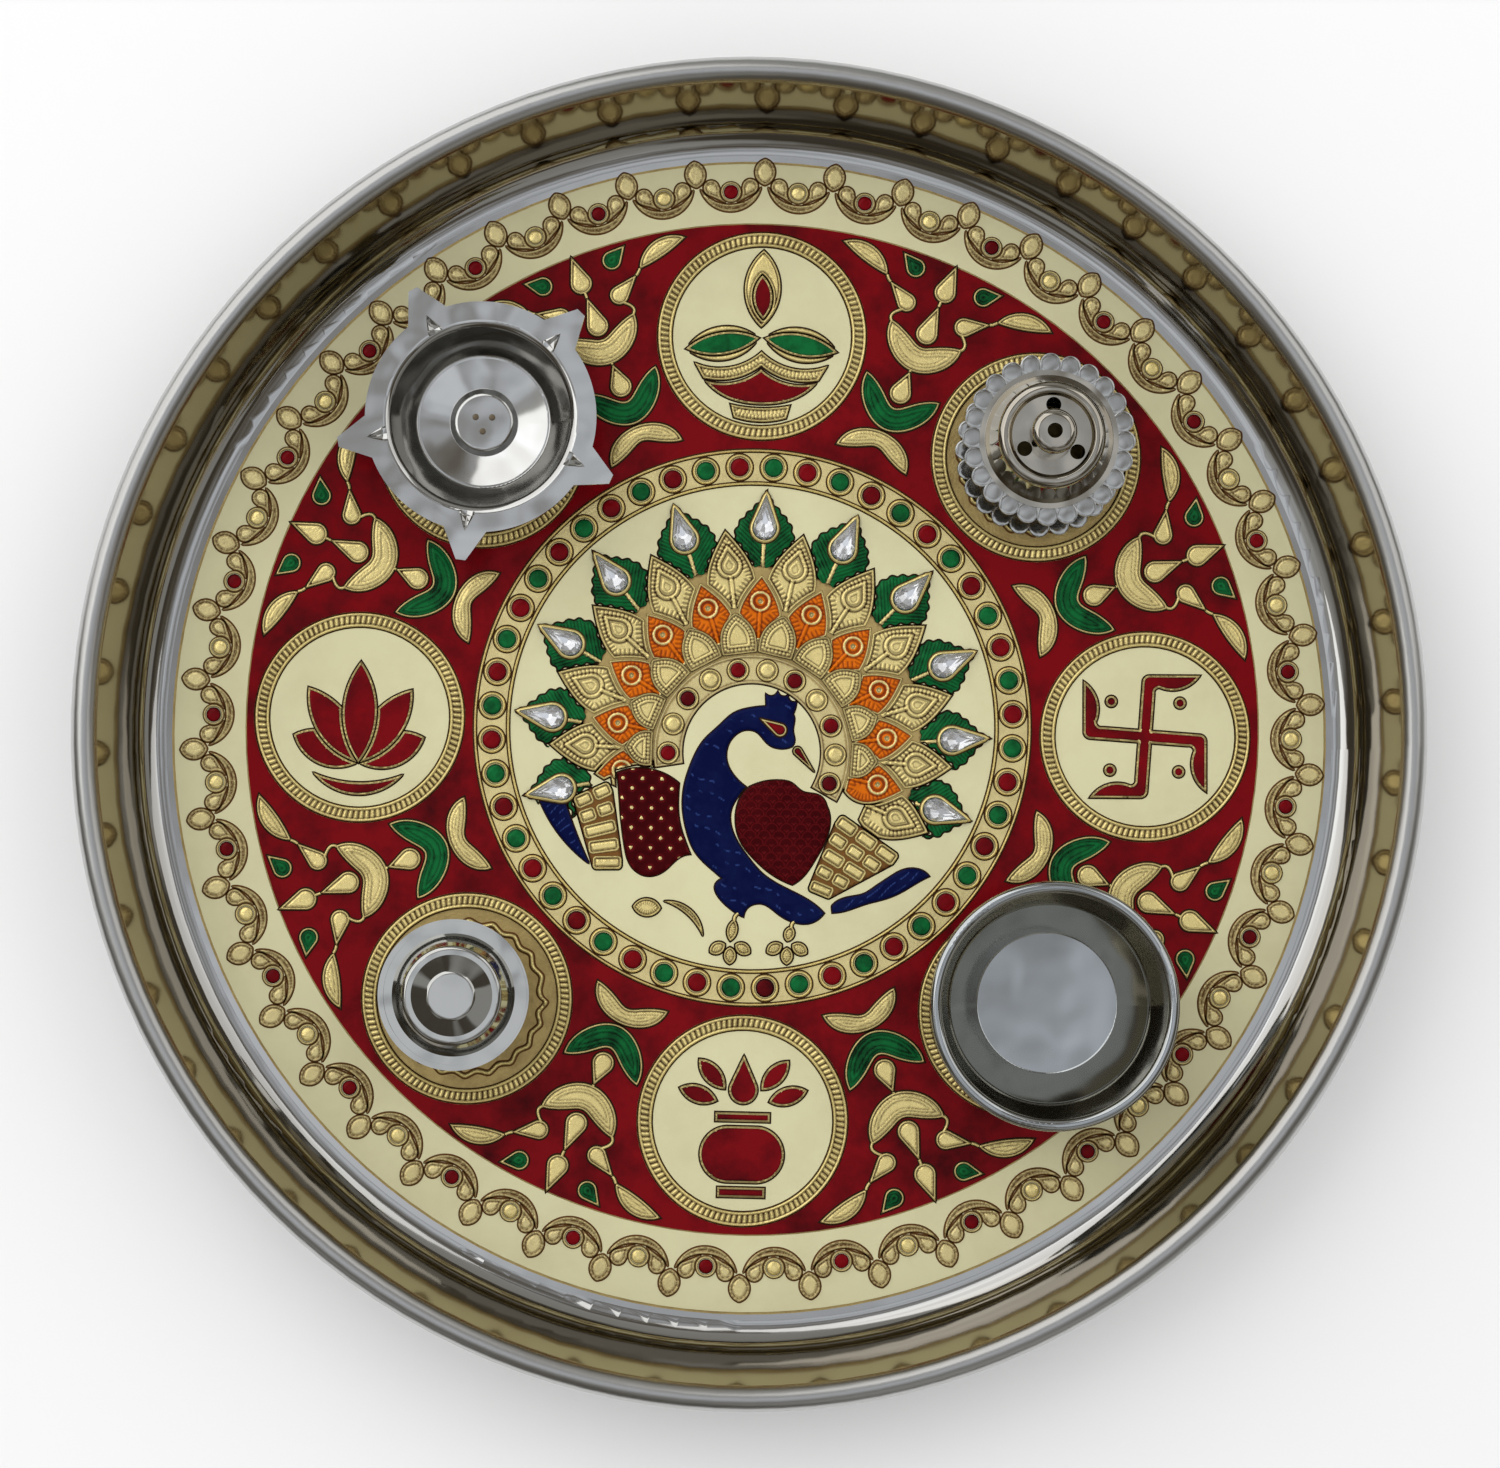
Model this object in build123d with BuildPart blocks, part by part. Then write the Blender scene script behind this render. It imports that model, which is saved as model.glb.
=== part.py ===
from build123d import *
from math import acos, atan2, cos, degrees, hypot, radians, sin, sqrt, tan
import os

os.makedirs("parts", exist_ok=True)

# Tray: a spun steel dish on a flat base, with a coved wall and a rolled rim
tray_h = 33.0
steel_t = 0.8
floor_r = 136.0
cove_r = 6.6
wall_lean = 10.6
roll_r = 3.0
roll_turn = 290.0

# Layers on the floor: embossed sheet, enamel run into its low places, raised relief, stones
sheet_t = 0.4
enamel_t = 0.3
relief_t = 0.6
line_gap = 0.3
rest_gap = 0.05
sheet_margin = 1.4
bare_edge_w = 0.6
pattern_x = 0.7
pattern_y = 1.8

# Rings of the pattern, from the middle outwards
centre_r_share = 0.4212
band_w_share = 0.0617
border_w_share = 0.1218
medallion_share = 0.4586
rope_w_share = 0.1352
medallion_count = 8
vessel_turn = 45.0

# Bead band round the middle
bead_pairs = 24
bead_r_share = 0.2651
bead_ring_w_share = 0.1084
bead_h = 0.5
band_line_w_share = 0.0723
bead_start = 86.7

# Wavy ring pressed in each medallion that carries a vessel
wavy_share = 0.83
wavy_line_w_share = 0.0474
wavy_depth_share = 0.0237
wavy_waves = 20

# Border scrolls: one crescent, two curls, a ringed bead and a bud for each unit
scroll_count = 50
scroll_start = 93.7
scroll_half_w_share = 0.439
scroll_tip_share = 0.515
scroll_low_shares = (0.175, 0.275)
curl_share = 0.525
curl_tip_share = 0.31
curl_off_share = 0.2805
curl_tip_off_share = 0.0915
curl_r_share = 0.1098
border_bead_r_share = 0.1037
border_ring_w_share = 0.0427
border_bead_share = 0.455
bud_shares = (0.55, 0.93)
bud_w_share = 0.29

# Flower sprays between the medallions: places along and across, as shares of the red field's width
spray_count = 8
spray_turn = 22.5
horn_outer_shares = (0.4, 0.8)
horn_inner_shares = ((0.74, 0.63), (0.38, 0.35))
bow_shares = (0.198, 0.066, 0.126, 0.168)
green_cup_shares = (0.208, 0.415, 0.315, 0.175)
gold_cup_shares = (0.494, 0.668, 0.608, 0.17)
drop_shares = ((0.385, 0.49), (0.672, 0.806), (0.872, 1.0))
spray_drop_r_share = 0.047
green_drop_shares = ((0.92, 0.162), (0.962, 0.238))
side_drop_shares = ((0.764, 0.138), (0.822, 0.242))
side_drop_r_share = 0.0414
side_leaf_shares = ((0.84, 0.262), (0.935, 0.38), (0.9, 0.502), (0.86, 0.39))

# Peacock fan: rows of feathers about a point below the middle
fan_drop_share = 0.1058
arch_r_share = 0.3439
arch_w_share = 0.1164
arch_from = -28.5
arch_to = 190.0
arch_bead_r_share = 0.0317
arch_ring_w_share = 0.0123
arch_bead_step = 20.2
arch_bead_start = -20.4
arch_bead_count = 11
feather_step = 20.2
feather_middle = 88.1
inner_feather_w_share = 0.13
amber_feather_w_share = 0.176
gold_feather_w_share = 0.198
feather_belly_share = 0.42
feather_foot_w_share = 0.7
feather_neck_shares = (0.8, 0.23)
leaf_w_share = 0.2716
leaf_step = 20.8
feather_reach_shares = (0.525, 0.665, 0.835)
feather_foot_shares = (0.33, 0.42, 0.54)
leaf_reach_shares = (0.69, 0.985)
leaf_side_shares = ((0, 0.12), (0.26, 0.44), (0.52, 0.42), (0.78, 0.17), (1, 0))

# Teardrop stones, each glued on a green feather
stone_r_share = 0.0495
stone_l_share = 0.188
stone_inset_share = 0.0247
stone_girdle_h = 0.9
stone_crown_h = 1.6
stone_table_share = 0.45
stone_table_back_share = 0.08

# Peacock: outlines as shares of the bird's size, in smooth runs that meet in corners
bird_size_share = 0.8818
body_shares = (
    ((0.165, 0.085), (0.08, 0.098), (0, 0.09), (-0.09, 0.06), (-0.15, 0.005), (-0.225, -0.07),
     (-0.275, -0.165), (-0.305, -0.26), (-0.315, -0.37), (-0.295, -0.485), (-0.25, -0.59),
     (-0.175, -0.665), (-0.12, -0.71)),
    ((-0.12, -0.71), (-0.155, -0.745), (-0.12, -0.815), (-0.02, -0.885)),
    ((-0.02, -0.885), (0.02, -0.828), (0.065, -0.822), (0.145, -0.87), (0.275, -0.91), (0.355, -0.86)),
    ((0.355, -0.86), (0.23, -0.775), (0.145, -0.735), (0.06, -0.68), (0, -0.615), (-0.055, -0.54),
     (-0.09, -0.455), (-0.09, -0.39), (-0.065, -0.335), (-0.025, -0.28)),
    ((-0.025, -0.28), (-0.08, -0.23), (-0.115, -0.165), (-0.115, -0.1), (-0.08, -0.04), (-0.035, -0.015),
     (0.02, -0.022), (0.08, -0.08), (0.135, -0.097), (0.188, -0.085)),
    ((0.188, -0.085), (0.198, -0.055), (0.19, -0.015), (0.195, 0.04), (0.165, 0.085)),
)
crest_shares = (
    ((0.065, 0.08), (0.06, 0.155)),
    ((0.06, 0.155), (0.09, 0.146), (0.115, 0.168)),
    ((0.115, 0.168), (0.136, 0.146), (0.163, 0.152)),
    ((0.163, 0.152), (0.174, 0.126), (0.202, 0.122)),
    ((0.202, 0.122), (0.196, 0.085), (0.18, 0.05)),
    ((0.18, 0.05), (0.065, 0.08)),
)
left_wing_shares = (
    ((-0.625, -0.23), (-0.515, -0.206), (-0.42, -0.223), (-0.335, -0.272)),
    ((-0.335, -0.272), (-0.338, -0.345), (-0.328, -0.455), (-0.3, -0.54), (-0.275, -0.6)),
    ((-0.275, -0.6), (-0.335, -0.625), (-0.4, -0.685), (-0.48, -0.705), (-0.545, -0.665), (-0.58, -0.57),
     (-0.605, -0.4), (-0.625, -0.23)),
)
right_wing_shares = (
    ((-0.005, -0.28), (-0.046, -0.33), (-0.066, -0.41), (-0.045, -0.525), (0.025, -0.615), (0.095, -0.675),
     (0.205, -0.73)),
    ((0.205, -0.73), (0.25, -0.695), (0.305, -0.615), (0.362, -0.495), (0.372, -0.42), (0.355, -0.36)),
    ((0.355, -0.36), (0.305, -0.308), (0.24, -0.296), (0.19, -0.258), (0.135, -0.247), (0.06, -0.255),
     (-0.005, -0.28)),
)
left_tail_shares = (
    ((-0.98, -0.37), (-0.862, -0.374)),
    ((-0.862, -0.374), (-0.815, -0.5), (-0.745, -0.655)),
    ((-0.745, -0.655), (-0.885, -0.525), (-0.98, -0.37)),
)
right_tail_shares = (
    ((0.392, -0.826), (0.43, -0.795), (0.48, -0.78), (0.54, -0.765), (0.59, -0.732), (0.65, -0.69),
     (0.734, -0.645), (0.818, -0.656), (0.84, -0.676)),
    ((0.84, -0.676), (0.776, -0.712), (0.712, -0.752), (0.638, -0.785), (0.552, -0.81), (0.446, -0.848),
     (0.395, -0.856)),
    ((0.395, -0.856), (0.392, -0.826)),
)
left_tile_shares = ((-0.657, -0.255), (-0.83, -0.345), (-0.582, -0.69), (-0.72, -0.685))
right_tile_shares = ((0.42, -0.385), (0.72, -0.59), (0.27, -0.765), (0.36, -0.79))
fence_w_share = 0.02
tile_rows = 5
tile_l_share = 0.108
tile_round_share = 0.3
eye_shares = ((0.13, -0.012), (0.035, 0.04))
eye_r_share = 0.03
beak_shares = ((0.214, -0.108), (0.296, -0.205))
beak_r_share = 0.02
leg_shares = (((-0.062, -0.9), (-0.078, -1.0)), ((0.205, -0.925), (0.187, -0.995)))
leg_w_share = 0.048
toe_turns = (-150.0, -90.0, -30.0)
toe_l_share = 0.08
toe_w_share = 0.056
toe_gap_share = 0.35
bud_leaf_shares = ((-0.535, -0.85), (-0.405, -0.855))
bud_leaf_w_share = 0.084
stem_shares = ((-0.392, -0.822), (-0.272, -0.852), (-0.206, -0.98), (-0.29, -0.875))

# Medallion figures, as shares of the medallion's face
flame_shares = ((-0.01, 0.1), (0, 0.96))
flame_w_share = 0.3981
flame_heart_shares = ((0.01, 0.19), (-0.01, 0.68))
flame_heart_w_share = 0.21
lamp_leaf_shares = (((-0.84, -0.16), (-0.03, -0.02)), ((0.03, -0.02), (0.84, -0.16)))
lamp_leaf_w_share = 0.3791
lamp_leaf_rim_w_share = 0.0664
lamp_band_shares = (
    ((-0.74, -0.31), (-0.35, -0.35), (0, -0.17)),
    ((0, -0.17), (0.35, -0.35), (0.74, -0.31)),
    ((0.74, -0.31), (0.64, -0.48)),
    ((0.64, -0.48), (0.3, -0.48), (0, -0.33)),
    ((0, -0.33), (-0.3, -0.48), (-0.64, -0.48)),
    ((-0.64, -0.48), (-0.74, -0.31)),
)
lamp_cup_shares = (
    ((-0.62, -0.51), (-0.3, -0.52), (0, -0.37)),
    ((0, -0.37), (0.3, -0.52), (0.62, -0.51)),
    ((0.62, -0.51), (0.36, -0.7), (0, -0.76), (-0.36, -0.7), (-0.62, -0.51)),
)
lamp_foot_plate_shares = (
    ((-0.33, -0.765), (0, -0.8), (0.33, -0.765)),
    ((0.33, -0.765), (0.29, -0.91)),
    ((0.29, -0.91), (0, -0.955), (-0.29, -0.91)),
    ((-0.29, -0.91), (-0.33, -0.765)),
)
mark_turn = -3.0
arm_shares = (
    ((-0.07, -0.07), (-0.07, 0.6)),
    ((-0.07, 0.6), (-0.045, 0.66), (0, 0.68)),
    ((0, 0.68), (0.56, 0.72)),
    ((0.56, 0.72), (0.44, 0.59), (0.12, 0.55)),
    ((0.12, 0.55), (0.085, 0.535), (0.07, 0.48)),
    ((0.07, 0.48), (0.07, -0.07)),
    ((0.07, -0.07), (-0.07, -0.07)),
)
mark_dot_share = 0.38
mark_dot_r_share = 0.0616
lotus_turns = (90.0, 55.0, 125.0, 22.0, 158.0)
lotus_petal_shares = (1.12, 1.0, 1.0, 0.78, 0.78)
lotus_petal_w_share = 0.3791
lotus_foot_share = 0.5
lotus_leaf_shares = ((-0.5, -0.62), (0, -0.86), (0.5, -0.62), (0, -0.72))
pot_shares = (
    ((-0.17, -0.06), (-0.46, -0.32), (-0.17, -0.68)),
    ((-0.17, -0.68), (0.17, -0.68)),
    ((0.17, -0.68), (0.46, -0.32), (0.17, -0.06)),
    ((0.17, -0.06), (-0.17, -0.06)),
)
pot_rim_shares = ((-0.3, -0.01), (0.3, 0.09))
pot_foot_shares = ((-0.26, -0.84), (0.26, -0.73))
pot_leaf_turns = (18.0, 48.0, 132.0, 162.0)
pot_leaf_shares = (0.12, 0.3, 0.74)
pot_leaf_w_share = 0.1991
coconut_shares = (0.34, 0.72)
coconut_r_share = 0.1564

# Steel vessels: each stands loose, a little off the middle of its medallion
vessel_t = 0.8
bend_r = 1.2
lamp_off_shares = (0.037, 0.16)
stand_off_shares = (0.041, 0.049)
box_off_shares = (-0.049, 0.0615)
bowl_off_shares = (0.213, 0.0943)

# Five-wick lamp: a bowl with five blunt spouts on a foot
lamp_h = 20.0
lamp_foot_h = 8.0
lamp_mouth_r_share = 0.8852
lamp_flange_w_share = 0.2008
lamp_floor_r_share = 0.6148
lamp_boss_r_share = 0.2541
lamp_boss_h = 1.0
lamp_boss_side_w = 1.5
lamp_dish_h = 1.2
lamp_ledge_w = 0.9
lamp_foot_clear = 0.3
lamp_foot_lip_w = 1.6
spout_count = 5
spout_turn = 47.6
spout_reach_share = 0.272
spout_half_w_share = 0.218
spout_tip_w_share = 0.046
spout_root_w_share = 0.0492
groove_w_share = 0.0902
groove_reach_share = 0.42
groove_depth = 0.45

# Incense stand: a flared foot, a scalloped collar and a dome with holes for sticks
stand_foot_r_share = 0.7213
stand_waist_r_share = 0.3484
stand_collar_h = 24.0
stand_skirt_share = 0.8
stand_waist_shares = (0.45, 0.75)
collar_r_share = 0.709
collar_seat_r_share = 0.4918
stand_bend_r_share = 0.095
collar_seat_w_share = 0.0656
scallop_count = 24
scallop_r_share = 0.0984
dome_r_share = 0.6475
dome_flange_w_share = 0.0656
dome_shoulder_h = 9.0
dome_step_drop = 1.2
dome_land_w = 1.3
stick_land_w = 0.1
dome_shoulder_w = 1.5
dome_t = 0.5
dome_boss_r_share = 0.1885
dome_h = 17.0
dome_bend_r = 0.4
stick_hole_r = 1.7
stick_hole_count = 3
stick_turn = 88.0
dome_top_hole_r = 1.7

# Vermilion box: a cup with a stepped lid
cup_h = 25.4
cup_t = 0.6
cup_foot_clear = 0.9
cup_bevel = 1.6
lid_flange_w = 1.8
lid_riser_r_share = 0.885
lid_step_r_share = 0.69
lid_slope_r_share = 0.585
lid_top_r_share = 0.33
lid_bead_w = 0.8
lid_bead_h = 0.4
lid_bead_inset = 0.5
lid_step_h = 5.2
lid_h = 9.0
lid_skirt_h = 4.0
lid_clear = 0.3

# Small bowl: flat floor, flared wall, turned-out lip
bowl_h = 25.0
bowl_floor_r_share = 0.6803
bowl_wall_r_share = 1.082
bowl_lip_w_share = 0.0451
bowl_lip_drop = 1.2
bowl_lip_bend_share = 0.42
bowl_wall_shares = (0.75, 0.3)
bowl_bend_r = 3.0

overrun = 1.0

# Sizes that follow from those above: the whole pattern and its vessels keep to the floor of the tray
lean = radians(wall_lean)
sheet_z = steel_t + sheet_t
relief_z = sheet_z + enamel_t
stone_z = relief_z + relief_t
sheet_r = floor_r - sheet_margin
centre_r = centre_r_share * sheet_r
band_w = band_w_share * sheet_r
border_w = border_w_share * sheet_r
band_r = centre_r + band_w
field_r = sheet_r - border_w
field_w = field_r - band_r
spray_drop_r = spray_drop_r_share * field_w
side_drop_r = side_drop_r_share * field_w
medallion_r = medallion_share * field_w
medallion_at = (band_r + field_r) / 2
rope_w = rope_w_share * medallion_r
lamp_mouth_r = lamp_mouth_r_share * medallion_r
lamp_flange_w = lamp_flange_w_share * medallion_r
lamp_floor_r = lamp_floor_r_share * medallion_r
lamp_boss_r = lamp_boss_r_share * medallion_r
spout_reach = spout_reach_share * medallion_r
spout_half_w = spout_half_w_share * medallion_r
spout_root_w = spout_root_w_share * medallion_r
spout_tip_w = spout_tip_w_share * medallion_r
groove_w = groove_w_share * medallion_r
stand_foot_r = stand_foot_r_share * medallion_r
stand_waist_r = stand_waist_r_share * medallion_r
collar_r = collar_r_share * medallion_r
collar_seat_r = collar_seat_r_share * medallion_r
collar_seat_w = collar_seat_w_share * medallion_r
stand_bend_r = stand_bend_r_share * medallion_r
scallop_r = scallop_r_share * medallion_r
dome_r = dome_r_share * medallion_r
dome_flange_w = dome_flange_w_share * medallion_r
dome_boss_r = dome_boss_r_share * medallion_r
bowl_floor_r = bowl_floor_r_share * medallion_r
bowl_wall_r = bowl_wall_r_share * medallion_r
bowl_lip_w = bowl_lip_w_share * medallion_r
bowl_lip_bend = bowl_lip_bend_share * bowl_lip_w
face_r = medallion_r - rope_w
wavy_line_w = wavy_line_w_share * face_r
wavy_depth = wavy_depth_share * face_r
flame_w = flame_w_share * face_r
flame_heart_w = flame_heart_w_share * face_r
lamp_leaf_w = lamp_leaf_w_share * face_r
lamp_leaf_rim_w = lamp_leaf_rim_w_share * face_r
mark_dot_r = mark_dot_r_share * face_r
lotus_petal_w = lotus_petal_w_share * face_r
pot_leaf_w = pot_leaf_w_share * face_r
coconut_r = coconut_r_share * face_r
wavy_r = face_r * wavy_share
wavy_in_r = wavy_r - wavy_depth - wavy_line_w / 2
bead_r = bead_r_share * band_w
bead_ring_w = bead_ring_w_share * band_w
band_line_w = band_line_w_share * band_w
scroll_half_w = scroll_half_w_share * border_w
curl_off = curl_off_share * border_w
curl_tip_off = curl_tip_off_share * border_w
curl_r = curl_r_share * border_w
border_bead_r = border_bead_r_share * border_w
border_ring_w = border_ring_w_share * border_w
bud_w = bud_w_share * border_w
fan_drop = fan_drop_share * centre_r
arch_r = arch_r_share * centre_r
arch_w = arch_w_share * centre_r
arch_bead_r = arch_bead_r_share * centre_r
arch_ring_w = arch_ring_w_share * centre_r
inner_feather_w = inner_feather_w_share * centre_r
amber_feather_w = amber_feather_w_share * centre_r
gold_feather_w = gold_feather_w_share * centre_r
leaf_w = leaf_w_share * centre_r
stone_r = stone_r_share * centre_r
stone_l = stone_l_share * centre_r
stone_inset = stone_inset_share * centre_r
bird_size = bird_size_share * centre_r
fence_w = fence_w_share * bird_size
eye_r = eye_r_share * bird_size
beak_r = beak_r_share * bird_size
leg_w = leg_w_share * bird_size
toe_l = toe_l_share * bird_size
toe_w = toe_w_share * bird_size
bud_leaf_w = bud_leaf_w_share * bird_size
tile_l = tile_l_share * bird_size
arch_out_r = arch_r + arch_w / 2
lamp_off, stand_off, box_off, bowl_off = [
    tuple(share * medallion_r for share in shares)
    for shares in (lamp_off_shares, stand_off_shares, box_off_shares, bowl_off_shares)
]
stick_circle_r = dome_boss_r + dome_t + stick_land_w + stick_hole_r


def design_plane(height):
    """The pattern's own plane at a height: the sheet was glued a little off the tray's middle."""
    return Plane(origin=(pattern_x, pattern_y, height))


def write_node(builder, name):
    """Labels a finished piece and writes it."""
    builder.part.label = name
    export_step(builder.part, f"parts/{name}.step")


def plate(name, faces, bottom, thickness, spots=(Location(),), cut=()):
    """One node of flat pieces that stand on the pattern at a height, repeated at the given spots."""
    with BuildPart() as piece:
        with BuildSketch(design_plane(bottom)):
            with Locations(*spots):
                add(faces)
            if cut:
                add(cut, mode=Mode.SUBTRACT)
        extrude(amount=thickness)
    write_node(piece, name)
    return piece


def turned(angle, x=0, y=0):
    """A spot on the pattern, turned by an angle in degrees."""
    return Location((x, y, 0), (0, 0, angle))


def turns(count, start):
    """Spots turned evenly round the middle."""
    return [turned(start + 360 * step / count) for step in range(count)]


def around(radius, count, start):
    """Spots on a circle about the middle."""
    angles = [radians(start + 360 * step / count) for step in range(count)]
    return [turned(0, radius * cos(angle), radius * sin(angle)) for angle in angles]


def between(start, end):
    """Where a shape that lies along X starts, and how it turns, to run from one point to the other."""
    return turned(degrees(atan2(end[1] - start[1], end[0] - start[0])), start[0], start[1])


def distance(start, end):
    """The length from one point to the other."""
    return hypot(end[0] - start[0], end[1] - start[1])


def scaled(point, size, x=0, y=0):
    """A point given in shares of a size."""
    return (x + point[0] * size, y + point[1] * size)


def disc(radius, inner_r=0):
    """A round face, with a hole if an inner radius is given."""
    with BuildSketch(mode=Mode.PRIVATE) as shape:
        Circle(radius)
        if inner_r:
            Circle(inner_r, mode=Mode.SUBTRACT)
    return shape.face()


def drop(round_r, length):
    """A drop: its round end about the origin, its tip at a length along X."""
    side = degrees(acos(round_r / length))
    with BuildSketch(mode=Mode.PRIVATE) as shape:
        with BuildLine():
            back = CenterArc((0, 0), round_r, side, 360 - 2 * side)
            Line(back @ 1, (length, 0))
            Line((length, 0), back @ 0)
        make_face()
    return shape.face()


def drop_between(round_r, middle, tip):
    """A drop with its round end about one point and its tip at another."""
    return drop(round_r, distance(middle, tip)).moved(between(middle, tip))


def leaf(start, end, width):
    """A leaf that is pointed at both ends."""
    length = distance(start, end)
    with BuildSketch(mode=Mode.PRIVATE) as shape:
        with BuildLine():
            ThreePointArc((0, 0), (length / 2, width / 2), (length, 0))
            ThreePointArc((length, 0), (length / 2, -width / 2), (0, 0))
        make_face()
    return shape.face().moved(between(start, end))


def feather(foot, tip, width):
    """A pointed feather along X, widest at its belly, with a straight foot."""
    belly = foot + (tip - foot) * feather_belly_share
    foot_side = width * feather_foot_w_share / 2
    neck = foot + (tip - foot) * feather_neck_shares[0]
    neck_side = width * feather_neck_shares[1]
    with BuildSketch(mode=Mode.PRIVATE) as shape:
        with BuildLine():
            Spline((foot, -foot_side), (belly, -width / 2), (neck, -neck_side), (tip, 0))
            Spline((tip, 0), (neck, neck_side), (belly, width / 2), (foot, foot_side))
            Line((foot, foot_side), (foot, -foot_side))
        make_face()
    return shape.face()


def outline(runs, size, x=0, y=0):
    """A closed outline of smooth runs that meet in corners, from points in shares of a size."""
    with BuildSketch(mode=Mode.PRIVATE) as shape:
        with BuildLine():
            for run in runs:
                points = [scaled(point, size, x, y) for point in run]
                if len(points) == 2:
                    Line(*points)
                elif len(points) == 3:
                    ThreePointArc(*points)
                else:
                    Spline(*points)
        make_face()
    return shape.face()


def crescent(start, outer, end, inner):
    """A crescent between two points, from an outer arc and an inner one."""
    with BuildSketch(mode=Mode.PRIVATE) as shape:
        with BuildLine():
            ThreePointArc(start, outer, end)
            ThreePointArc(end, inner, start)
        make_face()
    return shape.face()


def cup_leaf(bottom, tips, notch, half_w):
    """A leaf split in two horns: a round bottom, two tips and a notch between them."""
    bulge = bottom + (tips - bottom) * horn_outer_shares[0]
    bulge_w = half_w * horn_outer_shares[1]
    inner = [(notch + (tips - notch) * along, half_w * across) for along, across in horn_inner_shares]
    other_inner = [(x, -y) for x, y in inner]
    with BuildSketch(mode=Mode.PRIVATE) as shape:
        with BuildLine():
            Spline((tips, half_w), (bulge, bulge_w), (bottom, 0), (bulge, -bulge_w), (tips, -half_w))
            Spline((tips, -half_w), *other_inner, (notch, 0), *inner[::-1], (tips, half_w))
        make_face()
    return shape.face()


def grown(face, amount=line_gap):
    """A face with a margin round it, for cutting a neighbour back."""
    with BuildSketch(mode=Mode.PRIVATE) as shape:
        add(face)
        offset(amount=amount)
    return shape.face()


def fence(runs, size, margin):
    """A straight-sided face round an outline, its corners moved out by a margin."""
    points = [Vector(*scaled(point, size)) for run in runs for point in run[:-1]]
    middle = sum(points, Vector()) / len(points)
    corners = [point + (point - middle).normalized() * margin for point in points]
    with BuildSketch(mode=Mode.PRIVATE) as shape:
        with BuildLine():
            Polyline(*corners, close=True)
        make_face()
    return shape.face()


def wavy(radius):
    """A round outline with even waves."""
    step = 180 / wavy_waves
    with BuildSketch(mode=Mode.PRIVATE) as shape:
        with BuildLine():
            points = []
            for index in range(2 * wavy_waves):
                reach = radius + wavy_depth * (-1) ** index
                points.append((reach * cos(radians(index * step)), reach * sin(radians(index * step))))
            Spline(*points, periodic=True)
        make_face()
    return shape.face()


def in_field(point):
    """A point of a flower spray, from shares of the red field's width."""
    return (band_r + point[0] * field_w, point[1] * field_w)


# The tray
cove_middle_z = steel_t + cove_r
roll_z = tray_h - roll_r
cove_end = (floor_r + cove_r * cos(lean), cove_middle_z - cove_r * sin(lean))
roll_start_z = roll_z + roll_r * sin(lean)
roll_start = (cove_end[0] + (roll_start_z - cove_end[1]) * tan(lean), roll_start_z)
roll_middle = (roll_start[0] + roll_r * cos(lean), roll_z)
with BuildPart() as tray:
    with BuildSketch(Plane.XZ):
        with BuildLine():
            inside = Line((0, steel_t), (floor_r, steel_t))
            inner_cove = CenterArc((floor_r, cove_middle_z), cove_r, -90, 90 - wall_lean)
            inner_wall = Line(inner_cove @ 1, roll_start)
            roll_out = CenterArc(roll_middle, roll_r, 180 - wall_lean, -roll_turn)
            roll_in = CenterArc(roll_middle, roll_r - steel_t, 180 - wall_lean, -roll_turn)
            Line(roll_out @ 1, roll_in @ 1)
            outer_cove = CenterArc((floor_r, cove_middle_z), cove_r + steel_t, -90, 90 - wall_lean)
            Line(roll_in @ 0, outer_cove @ 1)
            Line(outer_cove @ 0, (0, 0))
            Line((0, 0), inside @ 0)
        make_face()
    revolve(axis=Axis.Z)
write_node(tray, "tray")

# The embossed sheet, and the enamel that fills its wide grounds
with BuildPart() as embossed_sheet:
    with BuildSketch(Plane.XY.offset(steel_t)):
        Circle(sheet_r)
    extrude(amount=sheet_t)
write_node(embossed_sheet, "embossed_sheet")

medallion_spots = around(medallion_at, medallion_count, 0)
with BuildPart() as cream_border:
    with BuildSketch(Plane.XY.offset(sheet_z)):
        Circle(sheet_r - bare_edge_w)
        with Locations((pattern_x, pattern_y)):
            Circle(field_r, mode=Mode.SUBTRACT)
    extrude(amount=enamel_t)
write_node(cream_border, "cream_border")

with BuildPart() as red_field:
    with BuildSketch(design_plane(sheet_z)):
        Circle(field_r - line_gap)
        Circle(band_r + line_gap, mode=Mode.SUBTRACT)
        with Locations(*medallion_spots):
            Circle(medallion_r + line_gap, mode=Mode.SUBTRACT)
    extrude(amount=enamel_t)
write_node(red_field, "red_field")

plate("cream_centre", disc(centre_r - line_gap), sheet_z, enamel_t)

# The bead band
bead_at = (centre_r + band_r) / 2
plate("bead_band", disc(band_r, centre_r), sheet_z, enamel_t)
band_lines = [disc(centre_r + band_line_w, centre_r), disc(band_r, band_r - band_line_w)]
plate("band_lines", band_lines, relief_z, relief_t)
bead_step = 180 / bead_pairs
bead_ring = disc(bead_r + bead_ring_w, bead_r + line_gap / 2)
plate("bead_rings", bead_ring, relief_z, relief_t, around(bead_at, 2 * bead_pairs, bead_start))
plate("green_beads", disc(bead_r), relief_z, bead_h, around(bead_at, bead_pairs, bead_start))
plate("red_beads", disc(bead_r), relief_z, bead_h, around(bead_at, bead_pairs, bead_start + bead_step))

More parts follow.
